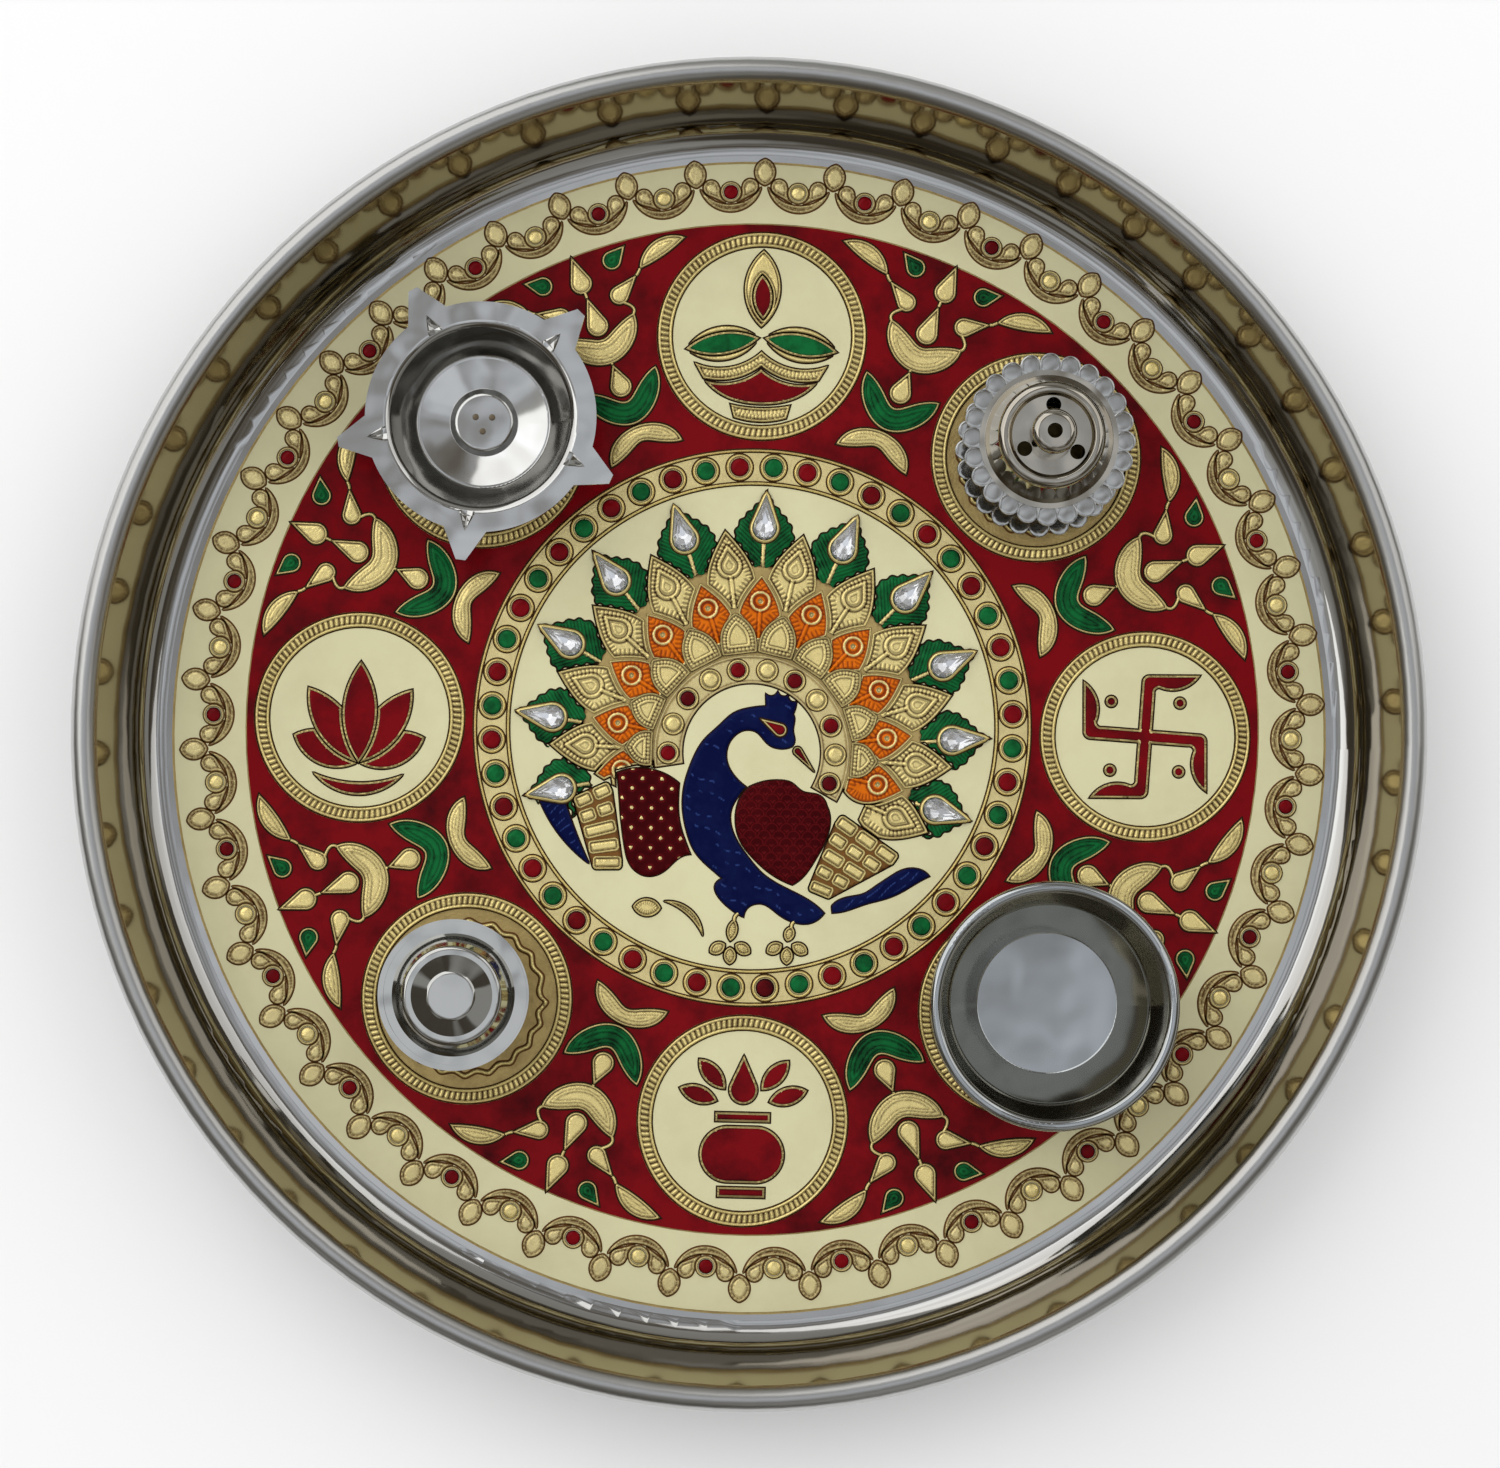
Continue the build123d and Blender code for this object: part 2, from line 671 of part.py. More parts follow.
# The medallions: rope rings, cream faces and the wavy rings where vessels stand
plate("rope_rings", disc(medallion_r, face_r), sheet_z, enamel_t + relief_t, medallion_spots)
quarter_count = medallion_count // 2
face_spots = around(medallion_at, quarter_count, 0)
vessel_spots = around(medallion_at, quarter_count, vessel_turn)
plate("cream_faces", disc(face_r - line_gap), sheet_z, enamel_t, face_spots)
with BuildSketch(mode=Mode.PRIVATE) as wavy_ring:
    add(wavy(wavy_r + wavy_line_w / 2))
    add(wavy(wavy_r - wavy_line_w / 2), mode=Mode.SUBTRACT)
plate("wavy_rings", wavy_ring.face(), sheet_z, enamel_t + relief_t, vessel_spots)

# Top medallion: an oil lamp with its flame
at_top = (0, medallion_at)
flame = leaf(*[scaled(point, face_r, *at_top) for point in flame_shares], flame_w)
heart_ends = [scaled(point, face_r, *at_top) for point in flame_heart_shares]
flame_heart = leaf(*heart_ends, flame_heart_w)
plate("lamp_figure_flame", flame, relief_z, relief_t, cut=[grown(flame_heart)])
lamp_leaf_ends = [[scaled(point, face_r, *at_top) for point in pair] for pair in lamp_leaf_shares]
lamp_leaves = [leaf(*ends, lamp_leaf_w - 2 * lamp_leaf_rim_w) for ends in lamp_leaf_ends]
lamp_leaf_rims = [leaf(*ends, lamp_leaf_w) for ends in lamp_leaf_ends]
lamp_leaf_cuts = [grown(face) for face in lamp_leaves]
plate("lamp_figure_rims", lamp_leaf_rims, relief_z, relief_t, cut=lamp_leaf_cuts)
plate("lamp_figure_leaves", lamp_leaves, relief_z, relief_t)
lamp_gold = [outline(runs, face_r, *at_top) for runs in (lamp_band_shares, lamp_foot_plate_shares)]
plate("lamp_figure_bands", lamp_gold, relief_z, relief_t, cut=[grown(face) for face in lamp_leaf_rims])
lamp_red = [flame_heart, outline(lamp_cup_shares, face_r, *at_top)]
plate("lamp_figure_red", lamp_red, relief_z, relief_t)

# Right medallion: a four-armed mark with four dots
arm = outline(arm_shares, face_r)
mark_spots = [turned(mark_turn + 90 * step, medallion_at) for step in range(4)]
with BuildSketch(mode=Mode.PRIVATE) as mark:
    with Locations(*mark_spots):
        add(arm)
mark_dot_at = mark_dot_share * face_r * sqrt(2)
mark_dots = [spot.position + Vector(medallion_at, 0) for spot in around(mark_dot_at, 4, vessel_turn)]
mark_dot_faces = [disc(mark_dot_r).moved(Location(place)) for place in mark_dots]
plate("four_armed_mark", [*mark.faces(), *mark_dot_faces], relief_z, relief_t)

# Left medallion: a lotus
lotus_foot = (-medallion_at, -lotus_foot_share * face_r)
lotus_faces = []
for turn, share in zip(lotus_turns, lotus_petal_shares):
    reach = share * face_r
    tip = (lotus_foot[0] + reach * cos(radians(turn)), lotus_foot[1] + reach * sin(radians(turn)))
    lotus_faces.append(leaf(lotus_foot, tip, lotus_petal_w))
lotus_pieces = []
for index, face in enumerate(lotus_faces):
    with BuildSketch(mode=Mode.PRIVATE) as petal:
        add(face)
        for front in lotus_faces[:index]:
            add(grown(front), mode=Mode.SUBTRACT)
    lotus_pieces.append(petal.faces().sort_by(SortBy.AREA)[-1])
lotus_leaf = crescent(*[scaled(point, face_r, -medallion_at) for point in lotus_leaf_shares])
plate("lotus_mark", [*lotus_pieces, lotus_leaf], relief_z, relief_t)

# Bottom medallion: a full pot with leaves and a coconut
at_bottom = (0, -medallion_at)
pot_faces = [outline(pot_shares, face_r, *at_bottom)]
for low, high in (pot_rim_shares, pot_foot_shares):
    low_point = scaled(low, face_r, *at_bottom)
    high_point = scaled(high, face_r, *at_bottom)
    with BuildSketch(mode=Mode.PRIVATE) as bar:
        with Locations(((low_point[0] + high_point[0]) / 2, (low_point[1] + high_point[1]) / 2)):
            Rectangle(high_point[0] - low_point[0], high_point[1] - low_point[1])
    pot_faces.append(bar.face())
pot_mouth = scaled((0, pot_leaf_shares[0]), face_r, *at_bottom)
for turn in pot_leaf_turns:
    aim = Vector(cos(radians(turn)), sin(radians(turn)))
    leaf_foot = Vector(*pot_mouth) + aim * pot_leaf_shares[1] * face_r
    leaf_tip = Vector(*pot_mouth) + aim * pot_leaf_shares[2] * face_r
    pot_faces.append(leaf((leaf_foot.X, leaf_foot.Y), (leaf_tip.X, leaf_tip.Y), pot_leaf_w))
coconut_ends = [scaled((0, share), face_r, *at_bottom) for share in coconut_shares]
pot_faces.append(drop_between(coconut_r, *coconut_ends))
plate("pot_mark", pot_faces, relief_z, relief_t)

# The flower sprays
spray_spots = turns(spray_count, spray_turn)
sides = (1, -1)
spray_bow = cup_leaf(*[band_r + share * field_w for share in bow_shares[:3]], bow_shares[3] * field_w)
green_cup = cup_leaf(*[band_r + share * field_w for share in green_cup_shares[:3]], green_cup_shares[3] * field_w)
gold_cup = cup_leaf(*[band_r + share * field_w for share in gold_cup_shares[:3]], gold_cup_shares[3] * field_w)
spray_drops = [drop_between(spray_drop_r, in_field((low, 0)), in_field((high, 0))) for low, high in drop_shares]
side_drops = []
side_leaves = []
green_drops = []
for side in sides:
    place, tip = [in_field((along, side * across)) for along, across in side_drop_shares]
    side_drops.append(drop_between(side_drop_r, place, tip))
    side_leaves.append(crescent(*[in_field((along, side * across)) for along, across in side_leaf_shares]))
    place, tip = [in_field((along, side * across)) for along, across in green_drop_shares]
    green_drops.append(drop_between(side_drop_r, place, tip))
plate("spray_bows", spray_bow, relief_z, relief_t, spray_spots)
plate("spray_cups", gold_cup, relief_z, relief_t, spray_spots)
plate("spray_drops", [*spray_drops, *side_drops], relief_z, relief_t, spray_spots)
plate("spray_leaves", side_leaves, relief_z, relief_t, spray_spots)
plate("green_cups", green_cup, relief_z, relief_t, spray_spots)
plate("green_drops", green_drops, relief_z, relief_t, spray_spots)


# The scroll border
def in_border(share):
    """A radius in the border, from a share of its width."""
    return field_r + share * border_w


scroll_spots = turns(scroll_count, scroll_start)
scroll_tip = in_border(scroll_tip_share)
low_edge, high_edge = [in_border(share) for share in scroll_low_shares]
scroll_start_point = (scroll_tip, -scroll_half_w)
scroll_end_point = (scroll_tip, scroll_half_w)
scroll = crescent(scroll_start_point, (low_edge, 0), scroll_end_point, (high_edge, 0))
bead_place = turned(0, in_border(border_bead_share))
border_ring = disc(border_bead_r + border_ring_w, border_bead_r + line_gap / 2).moved(bead_place)
border_bead = disc(border_bead_r).moved(bead_place)
ring_cut = disc(border_bead_r + border_ring_w + line_gap).moved(bead_place)
curls = []
for side in sides:
    middle = (in_border(curl_share), side * curl_off)
    tip = (in_border(curl_tip_share), side * curl_tip_off)
    with BuildSketch(mode=Mode.PRIVATE) as curl:
        add(drop_between(curl_r, middle, tip))
        add(ring_cut, mode=Mode.SUBTRACT)
        add(grown(scroll), mode=Mode.SUBTRACT)
    curls.append(curl.faces().sort_by(SortBy.AREA)[-1])
plate("border_scrolls", scroll, relief_z, relief_t, scroll_spots)
plate("border_curls", curls, relief_z, relief_t, scroll_spots)
plate("border_rings", border_ring, relief_z, relief_t, scroll_spots)
plate("border_red_beads", border_bead, relief_z, bead_h, scroll_spots[::2])
plate("border_gold_beads", border_bead, relief_z, bead_h, scroll_spots[1::2])
bud = leaf(*[(in_border(share), 0) for share in bud_shares], bud_w)
plate("border_buds", bud, relief_z, relief_t, turns(scroll_count, scroll_start + 180 / scroll_count))


# The peacock's fan: each row stands behind the row inside it
def reach_to_band(angle):
    """From the fan's middle to the bead band, along an angle."""
    across = fan_drop * cos(radians(angle))
    return fan_drop * sin(radians(angle)) + sqrt(centre_r ** 2 - across ** 2)


def feather_row(angles, foot_share, reach_share, width, margin=0):
    """A row of feathers about the fan's middle, with a margin for cutting the row behind."""
    faces = []
    for angle in angles:
        reach = reach_to_band(angle)
        shape = feather(foot_share * reach - margin, reach_share * reach + 2 * margin, width + 2 * margin)
        faces.append(shape.moved(turned(angle, 0, -fan_drop)))
    return faces


def bird_outline(runs):
    """An outline of the bird."""
    return outline(runs, bird_size)


body = bird_outline(body_shares)
wings = [bird_outline(left_wing_shares), bird_outline(right_wing_shares)]
tails = [bird_outline(left_tail_shares), bird_outline(right_tail_shares)]
bird_cuts = [fence(runs, bird_size, fence_w) for runs in (left_wing_shares, left_tail_shares)]


def tile_rows_between(corner_shares):
    """Wing feathers: rows of overlapping tiles between four corners, wing side first."""
    in_top, out_top, in_low, out_low = [Vector(*scaled(point, bird_size)) for point in corner_shares]
    faces = []
    for row in range(tile_rows):
        share = (2 * row + 1) / (2 * tile_rows)
        start = in_top + (in_low - in_top) * share
        end = out_top + (out_low - out_top) * share
        along = (end - start).normalized()
        spans = [abs(side.cross(along).Z) for side in (in_low - in_top, out_low - out_top)]
        row_w = min(spans) / tile_rows - line_gap
        columns = max(1, round((end - start).length / tile_l))
        column_l = (end - start).length / columns
        for column in range(columns):
            middle = start + along * column_l * (2 * column + 1) / 2
            turn = degrees(atan2(along.Y, along.X))
            with BuildSketch(mode=Mode.PRIVATE) as tile:
                RectangleRounded(column_l - line_gap, row_w, row_w * tile_round_share)
            faces.append(tile.face().moved(turned(turn, middle.X, middle.Y)))
    return faces


tiles = [
    *tile_rows_between(left_tile_shares),
    *tile_rows_between(right_tile_shares),
]
tile_fields = []
for corners in (left_tile_shares, right_tile_shares):
    in_top, out_top, in_low, out_low = [scaled(point, bird_size) for point in corners]
    with BuildSketch(mode=Mode.PRIVATE) as tile_field:
        with BuildLine():
            Polyline(in_top, out_top, out_low, in_low, close=True)
        make_face()
    tile_fields.append(grown(tile_field.face()))

amber_turns = [feather_middle + feather_step * step for step in range(-5, 6)]
gold_turns = [feather_middle + feather_step * (2 * step + 1) / 2 for step in range(-6, 5)]
leaf_turns = [feather_middle + leaf_step * step for step in range(-5, 6)]
inner_row = (gold_turns[1:], feather_foot_shares[0], feather_reach_shares[0], inner_feather_w)
amber_row = (amber_turns, feather_foot_shares[1], feather_reach_shares[1], amber_feather_w)
gold_row = (gold_turns, feather_foot_shares[2], feather_reach_shares[2], gold_feather_w)
front_cuts = [*bird_cuts, *tile_fields]
arch_cut = disc(arch_out_r + line_gap).moved(turned(0, 0, -fan_drop))
inner_cut = feather_row(*inner_row, line_gap)
amber_cut = feather_row(*amber_row, line_gap)
gold_cut = feather_row(*gold_row, line_gap)
plate("inner_feathers", feather_row(*inner_row), relief_z, relief_t, cut=[*front_cuts, arch_cut])
plate("amber_feathers", feather_row(*amber_row), relief_z, relief_t, cut=[*front_cuts, arch_cut, *inner_cut])
plate("gold_feathers", feather_row(*gold_row), relief_z, relief_t, cut=[*front_cuts, *inner_cut, *amber_cut])

leaves = []
stone_spots = []
for angle in leaf_turns:
    reach = reach_to_band(angle)
    foot, tip = [share * reach for share in leaf_reach_shares]
    side_points = [(foot + along * (tip - foot), across * leaf_w) for along, across in leaf_side_shares]
    other_points = [(x, -y) for x, y in side_points[::-1]]
    with BuildSketch(mode=Mode.PRIVATE) as leaf_shape:
        with BuildLine():
            Spline(*side_points)
            Spline(*other_points)
            Line(other_points[-1], side_points[0])
        make_face()
    leaves.append(leaf_shape.face().moved(turned(angle, 0, -fan_drop)))
    stone_at = tip - stone_inset - (stone_l - stone_r)
    stone_spots.append(
        turned(angle, stone_at * cos(radians(angle)), stone_at * sin(radians(angle)) - fan_drop)
    )
plate("green_feathers", leaves, relief_z, relief_t, cut=[*front_cuts, *amber_cut, *gold_cut])

# The stones: a drop-shaped girdle under a crown that narrows to a table
stone_tip = stone_l - stone_r
with BuildPart() as stone:
    with BuildSketch(Plane.XY.offset(stone_z)):
        add(drop(stone_r, stone_tip))
    extrude(amount=stone_girdle_h)
    with BuildSketch(Plane.XY.offset(stone_z + stone_girdle_h)):
        add(drop(stone_r, stone_tip))
    table_x = stone_table_back_share * stone_tip
    with BuildSketch(Plane.XY.offset(stone_z + stone_girdle_h + stone_crown_h)):
        with Locations((table_x, 0)):
            add(drop(stone_r * stone_table_share, stone_tip * stone_table_share))
    loft()
with BuildPart() as stones:
    with Locations(*[turned(0, pattern_x, pattern_y) * spot for spot in stone_spots]):
        add(stone.part)
write_node(stones, "stones")

# The arch behind the bird's neck, with its beads
with BuildSketch(mode=Mode.PRIVATE) as arch:
    with BuildLine():
        arch_out = CenterArc((0, -fan_drop), arch_out_r, arch_from, arch_to - arch_from)
        arch_in = CenterArc((0, -fan_drop), arch_out_r - arch_w, arch_from, arch_to - arch_from)
        Line(arch_out @ 0, arch_in @ 0)
        Line(arch_out @ 1, arch_in @ 1)
    make_face()
plate("arch_band", arch.face(), relief_z, enamel_t)
arch_z = relief_z + enamel_t
arch_spots = []
for step in range(arch_bead_count):
    angle = radians(arch_bead_start + arch_bead_step * step)
    arch_spots.append(turned(0, arch_r * cos(angle), arch_r * sin(angle) - fan_drop))
arch_ring = disc(arch_bead_r + arch_ring_w, arch_bead_r + line_gap / 2)
plate("arch_rings", arch_ring, arch_z, enamel_t, arch_spots)
plate("arch_red_beads", disc(arch_bead_r), arch_z, bead_h, arch_spots[::2])
plate("arch_gold_beads", disc(arch_bead_r), arch_z, bead_h, arch_spots[1::2])

# The bird
plate("peacock_body", [body, bird_outline(crest_shares)], relief_z, relief_t)
plate("peacock_wings", wings, relief_z, relief_t)
plate("peacock_tail", tails, relief_z, relief_t)
plate("wing_feathers", tiles, relief_z, relief_t)
eye = drop_between(eye_r, *[scaled(point, bird_size) for point in eye_shares])
plate("peacock_eye", eye, stone_z, enamel_t)
beak = drop_between(beak_r, *[scaled(point, bird_size) for point in beak_shares])
plate("peacock_beak", beak, relief_z, relief_t)
feet = []
for hip, ankle in leg_shares:
    hip_point = scaled(hip, bird_size)
    ankle_point = scaled(ankle, bird_size)
    feet.append(leaf(hip_point, ankle_point, leg_w))
    for turn in toe_turns:
        aim = Vector(cos(radians(turn)), sin(radians(turn)))
        toe_start = Vector(*ankle_point) + aim * toe_l * toe_gap_share
        toe_end = toe_start + aim * toe_l
        feet.append(leaf((toe_start.X, toe_start.Y), (toe_end.X, toe_end.Y), toe_w))
feet.append(leaf(*[scaled(point, bird_size) for point in bud_leaf_shares], bud_leaf_w))
feet.append(crescent(*[scaled(point, bird_size) for point in stem_shares]))
plate("peacock_legs", feet, relief_z, relief_t)


# The vessels
def vessel_place(spot, off):
    """Where a vessel's axis stands: its medallion's middle, moved by how far it was set down off it."""
    return (spot.position.X + off[0] + pattern_x, spot.position.Y + off[1] + pattern_y)


def upright(place, height):
    """The upright plane through a vessel's axis, with its origin where the vessel stands."""
    return Plane(origin=(place[0], place[1], height), x_dir=(1, 0, 0), z_dir=(0, -1, 0))


def level(place, height):
    """A level plane about a vessel's axis."""
    return Plane(origin=(place[0], place[1], height))


def spin(place):
    """The axis that a vessel was spun about."""
    return Axis((place[0], place[1], 0), (0, 0, 1))


stand_spot, lamp_spot, box_spot, bowl_spot = vessel_spots
sheet_rest = sheet_z + rest_gap
rope_rest = relief_z + relief_t + rest_gap

# Lamp bowl: boss, dished floor, ledge, wall and flange, with five blunt spouts, each with a wick groove
lamp_at = vessel_place(lamp_spot, lamp_off)
lamp_flange_r = lamp_mouth_r + lamp_flange_w
lamp_flange_z = lamp_h - vessel_t
lamp_profile = [
    (0, lamp_foot_h + lamp_boss_h),
    (lamp_boss_r, lamp_foot_h + lamp_boss_h),
    (lamp_boss_r + lamp_boss_side_w, lamp_foot_h),
    (lamp_floor_r, lamp_foot_h + lamp_dish_h),
    (lamp_floor_r + lamp_ledge_w, lamp_foot_h + lamp_dish_h),
    (lamp_mouth_r, lamp_flange_z),
    (lamp_flange_r, lamp_flange_z),
]
lamp_bends = [lamp_boss_h / 2, lamp_boss_h, bend_r, bend_r, bend_r]
spout_tip_r = lamp_flange_r + spout_reach
spout_root_r = lamp_flange_r - spout_root_w
groove_tip_r = lamp_mouth_r + groove_reach_share * (lamp_flange_w + spout_reach)
with BuildPart() as lamp_bowl:
    with BuildSketch(upright(lamp_at, sheet_rest)):
        with BuildLine():
            FilletPolyline(*lamp_profile, radius=lamp_bends)
            offset(amount=vessel_t, side=Side.LEFT)
        make_face()
    revolve(axis=spin(lamp_at))
    with BuildSketch(level(lamp_at, sheet_rest + lamp_flange_z)):
        with PolarLocations(0, spout_count, spout_turn):
            Polygon(
                (spout_root_r, -spout_half_w),
                (spout_tip_r, -spout_tip_w),
                (spout_tip_r, spout_tip_w),
                (spout_root_r, spout_half_w),
                align=None,
            )
    extrude(amount=vessel_t)
    groove_z = sheet_rest + lamp_h
    with BuildSketch(level(lamp_at, groove_z - groove_depth)):
        with PolarLocations(0, spout_count, spout_turn):
            Polygon(
                (lamp_mouth_r + bend_r, -groove_w / 2),
                (groove_tip_r, 0),
                (lamp_mouth_r + bend_r, groove_w / 2),
                align=None,
            )
    extrude(amount=groove_depth + overrun, mode=Mode.SUBTRACT)
write_node(lamp_bowl, "lamp_bowl")

# Lamp foot: an upturned pressed dish, welded under the bowl's boss
lamp_foot_r = wavy_in_r - hypot(*lamp_off) - lamp_foot_clear
foot_top_r = lamp_boss_r - vessel_t
foot_top_z = lamp_foot_h + lamp_boss_h - vessel_t
with BuildPart() as lamp_foot:
    with BuildSketch(upright(lamp_at, sheet_rest)):
        with BuildLine():
            FilletPolyline(
                (0, foot_top_z),
                (foot_top_r, foot_top_z),
                (foot_top_r, foot_top_z - lamp_foot_h / 3),
                (lamp_foot_r - lamp_foot_lip_w, 0),
                (lamp_foot_r, 0),
                radius=bend_r / 2,
            )
            offset(amount=vessel_t, side=Side.LEFT)
        make_face()
    revolve(axis=spin(lamp_at))
write_node(lamp_foot, "lamp_foot")

# Incense stand: the flared foot
stand_at = vessel_place(stand_spot, stand_off)
stand_z = rope_rest
with BuildPart() as stand_foot:
    with BuildSketch(upright(stand_at, stand_z)):
        with BuildLine():
            FilletPolyline(
                (stand_foot_r, 0),
                (stand_foot_r * stand_skirt_share, 0),
                (stand_waist_r, stand_collar_h * stand_waist_shares[0]),
                (stand_waist_r, stand_collar_h * stand_waist_shares[1]),
                (collar_seat_r, stand_collar_h),
                (collar_seat_r + collar_seat_w, stand_collar_h),
                radius=[stand_bend_r, stand_bend_r, stand_bend_r, collar_seat_w],
            )
            offset(amount=vessel_t, side=Side.RIGHT)
        make_face()
    revolve(axis=spin(stand_at))
    with BuildSketch(level(stand_at, stand_z)):
        with PolarLocations(stand_foot_r, scallop_count):
            Circle(scallop_r)
        Circle(stand_foot_r - scallop_r, mode=Mode.SUBTRACT)
    extrude(amount=vessel_t)
write_node(stand_foot, "stand_foot")

# Incense stand: the scalloped collar, welded on the foot's mouth
with BuildPart() as stand_collar:
    with BuildSketch(level(stand_at, stand_z + stand_collar_h)):
        Circle(collar_r)
        with PolarLocations(collar_r, scallop_count):
            Circle(scallop_r)
        Circle(stand_waist_r, mode=Mode.SUBTRACT)
    extrude(amount=vessel_t)
write_node(stand_collar, "stand_collar")

# Incense stand: the dome, with a hole in its boss and three in the step round it
dome_z = stand_z + stand_collar_h + vessel_t
step_z = dome_shoulder_h - dome_step_drop
step_r = stick_circle_r + stick_hole_r + dome_land_w
dome_shoulder_r = step_r + dome_shoulder_w
with BuildPart() as stand_dome:
    with BuildSketch(upright(stand_at, dome_z)):
        with BuildLine():
            FilletPolyline(
                (dome_r, 0),
                (dome_r - dome_flange_w, 0),
                (dome_shoulder_r, dome_shoulder_h),
                (step_r, dome_shoulder_h),
                (step_r - dome_step_drop / 2, step_z),
                (dome_boss_r, step_z),
                (dome_boss_r, dome_h - dome_t),
                (0, dome_h - dome_t),
                radius=[bend_r / 2, bend_r, dome_bend_r, dome_bend_r, dome_bend_r, bend_r],
            )
            offset(amount=dome_t, side=Side.RIGHT)
        make_face()
    revolve(axis=spin(stand_at))
    with BuildSketch(level(stand_at, dome_z + step_z - overrun)):
        with PolarLocations(stick_circle_r, stick_hole_count, stick_turn):
            Circle(stick_hole_r)
    extrude(amount=dome_t + 2 * overrun, mode=Mode.SUBTRACT)
    with BuildSketch(level(stand_at, dome_z + dome_h - dome_t - overrun)):
        Circle(dome_top_hole_r)
    extrude(amount=dome_t + 2 * overrun, mode=Mode.SUBTRACT)
write_node(stand_dome, "stand_dome")

# Vermilion box: the cup
box_at = vessel_place(box_spot, box_off)
cup_foot_r = wavy_in_r - hypot(*box_off) - cup_foot_clear
cup_r = cup_foot_r + cup_bevel
with BuildPart() as kumkum_cup:
    with BuildSketch(upright(box_at, sheet_rest)):
        with BuildLine():
            FilletPolyline((0, 0), (cup_foot_r, 0), (cup_r, cup_bevel), (cup_r, cup_h), radius=bend_r / 2)
            offset(amount=cup_t, side=Side.LEFT)
        make_face()
    revolve(axis=spin(box_at))
write_node(kumkum_cup, "kumkum_cup")

# Vermilion box: the stepped lid, with a bead round its flange and a skirt that drops into the cup
lid_z = sheet_rest + cup_h
lid_flange_r = cup_r + lid_flange_w
lid_riser_r = lid_riser_r_share * cup_r
lid_step_r = lid_step_r_share * cup_r
lid_slope_r = lid_slope_r_share * cup_r
lid_top_r = lid_top_r_share * cup_r
skirt_r = cup_r - cup_t - lid_clear
with BuildPart() as kumkum_lid:
    with BuildSketch(upright(box_at, lid_z)):
        with BuildLine():
            FilletPolyline(
                (lid_flange_r, 0),
                (lid_riser_r, 0),
                (lid_step_r, lid_step_h),
                (lid_slope_r, lid_step_h),
                (lid_top_r, lid_h - cup_t),
                (0, lid_h - cup_t),
                radius=[cup_t / 2, cup_t, cup_t / 2, cup_t],
            )
            offset(amount=cup_t, side=Side.RIGHT)
        make_face()
    revolve(axis=spin(box_at))
    with BuildSketch(level(box_at, lid_z - lid_skirt_h)):
        Circle(skirt_r)
        Circle(skirt_r - cup_t, mode=Mode.SUBTRACT)
    extrude(amount=lid_skirt_h + cup_t / 2)
    with BuildSketch(level(box_at, lid_z + cup_t)):
        Circle(lid_flange_r - lid_bead_inset)
        Circle(lid_flange_r - lid_bead_inset - lid_bead_w, mode=Mode.SUBTRACT)
    extrude(amount=lid_bead_h)
write_node(kumkum_lid, "kumkum_lid")

# Small bowl
bowl_at = vessel_place(bowl_spot, bowl_off)
bowl_shoulder_r = bowl_floor_r + (bowl_wall_r - bowl_floor_r) * bowl_wall_shares[0]
with BuildPart() as katori:
    with BuildSketch(upright(bowl_at, rope_rest)):
        with BuildLine():
            FilletPolyline(
                (0, 0),
                (bowl_floor_r, 0),
                (bowl_shoulder_r, bowl_h * bowl_wall_shares[1]),
                (bowl_wall_r, bowl_h - vessel_t),
                (bowl_wall_r + bowl_lip_w, bowl_h - vessel_t),
                (bowl_wall_r + bowl_lip_w, bowl_h - vessel_t - bowl_lip_drop),
                radius=[bend_r, bowl_bend_r, bowl_lip_bend, bowl_lip_bend],
            )
            offset(amount=vessel_t, side=Side.LEFT)
        make_face()
    revolve(axis=spin(bowl_at))
write_node(katori, "katori")

print("lamp", lamp_at, "stand", stand_at, "box", box_at, "bowl", bowl_at)
print("medallion", medallion_r, face_r, medallion_at, "cup", cup_r, "lamp foot", lamp_foot_r)
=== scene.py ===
# %% [markdown]
# # A puja thali in Blender
# The tray, its vessels and every flat outline of the pattern come ready made from the CAD model.
# Here the flat outlines become embossed foil with enamel in it, and every surface gets its finish.
# The CAD pieces stay where they are: a finer piece may stand for one, but nothing is moved.

import bmesh
import bpy
import numpy as np
from mathutils import Matrix, Vector, geometry


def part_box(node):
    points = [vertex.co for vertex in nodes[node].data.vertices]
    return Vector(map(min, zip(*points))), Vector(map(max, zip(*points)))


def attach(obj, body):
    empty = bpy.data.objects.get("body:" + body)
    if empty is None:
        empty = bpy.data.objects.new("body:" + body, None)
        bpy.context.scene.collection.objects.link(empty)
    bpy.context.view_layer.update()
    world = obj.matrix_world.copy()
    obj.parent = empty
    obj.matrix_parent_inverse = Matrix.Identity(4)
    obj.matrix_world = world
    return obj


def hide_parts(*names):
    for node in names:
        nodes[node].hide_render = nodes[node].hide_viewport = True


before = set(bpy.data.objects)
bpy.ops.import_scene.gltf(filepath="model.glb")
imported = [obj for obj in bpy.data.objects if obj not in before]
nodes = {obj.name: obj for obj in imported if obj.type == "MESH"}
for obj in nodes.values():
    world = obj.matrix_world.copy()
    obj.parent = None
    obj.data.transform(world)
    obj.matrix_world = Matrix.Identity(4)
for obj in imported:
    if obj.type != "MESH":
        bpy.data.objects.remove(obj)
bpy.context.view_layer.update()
scene = bpy.context.scene
MM = 0.001

# %% [markdown]
# ## Levels and the middle of the pattern
# The sheet was glued a little off the tray's middle, so the pattern has a middle of its own.
# It is read from the round cream ground, and the heights come from the pieces' boxes, in millimetres.


# %% Measure the pattern
def span(node):
    """Lowest and highest corner of a CAD node, in millimetres."""
    low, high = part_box(node)
    return np.array(low) / MM, np.array(high) / MM


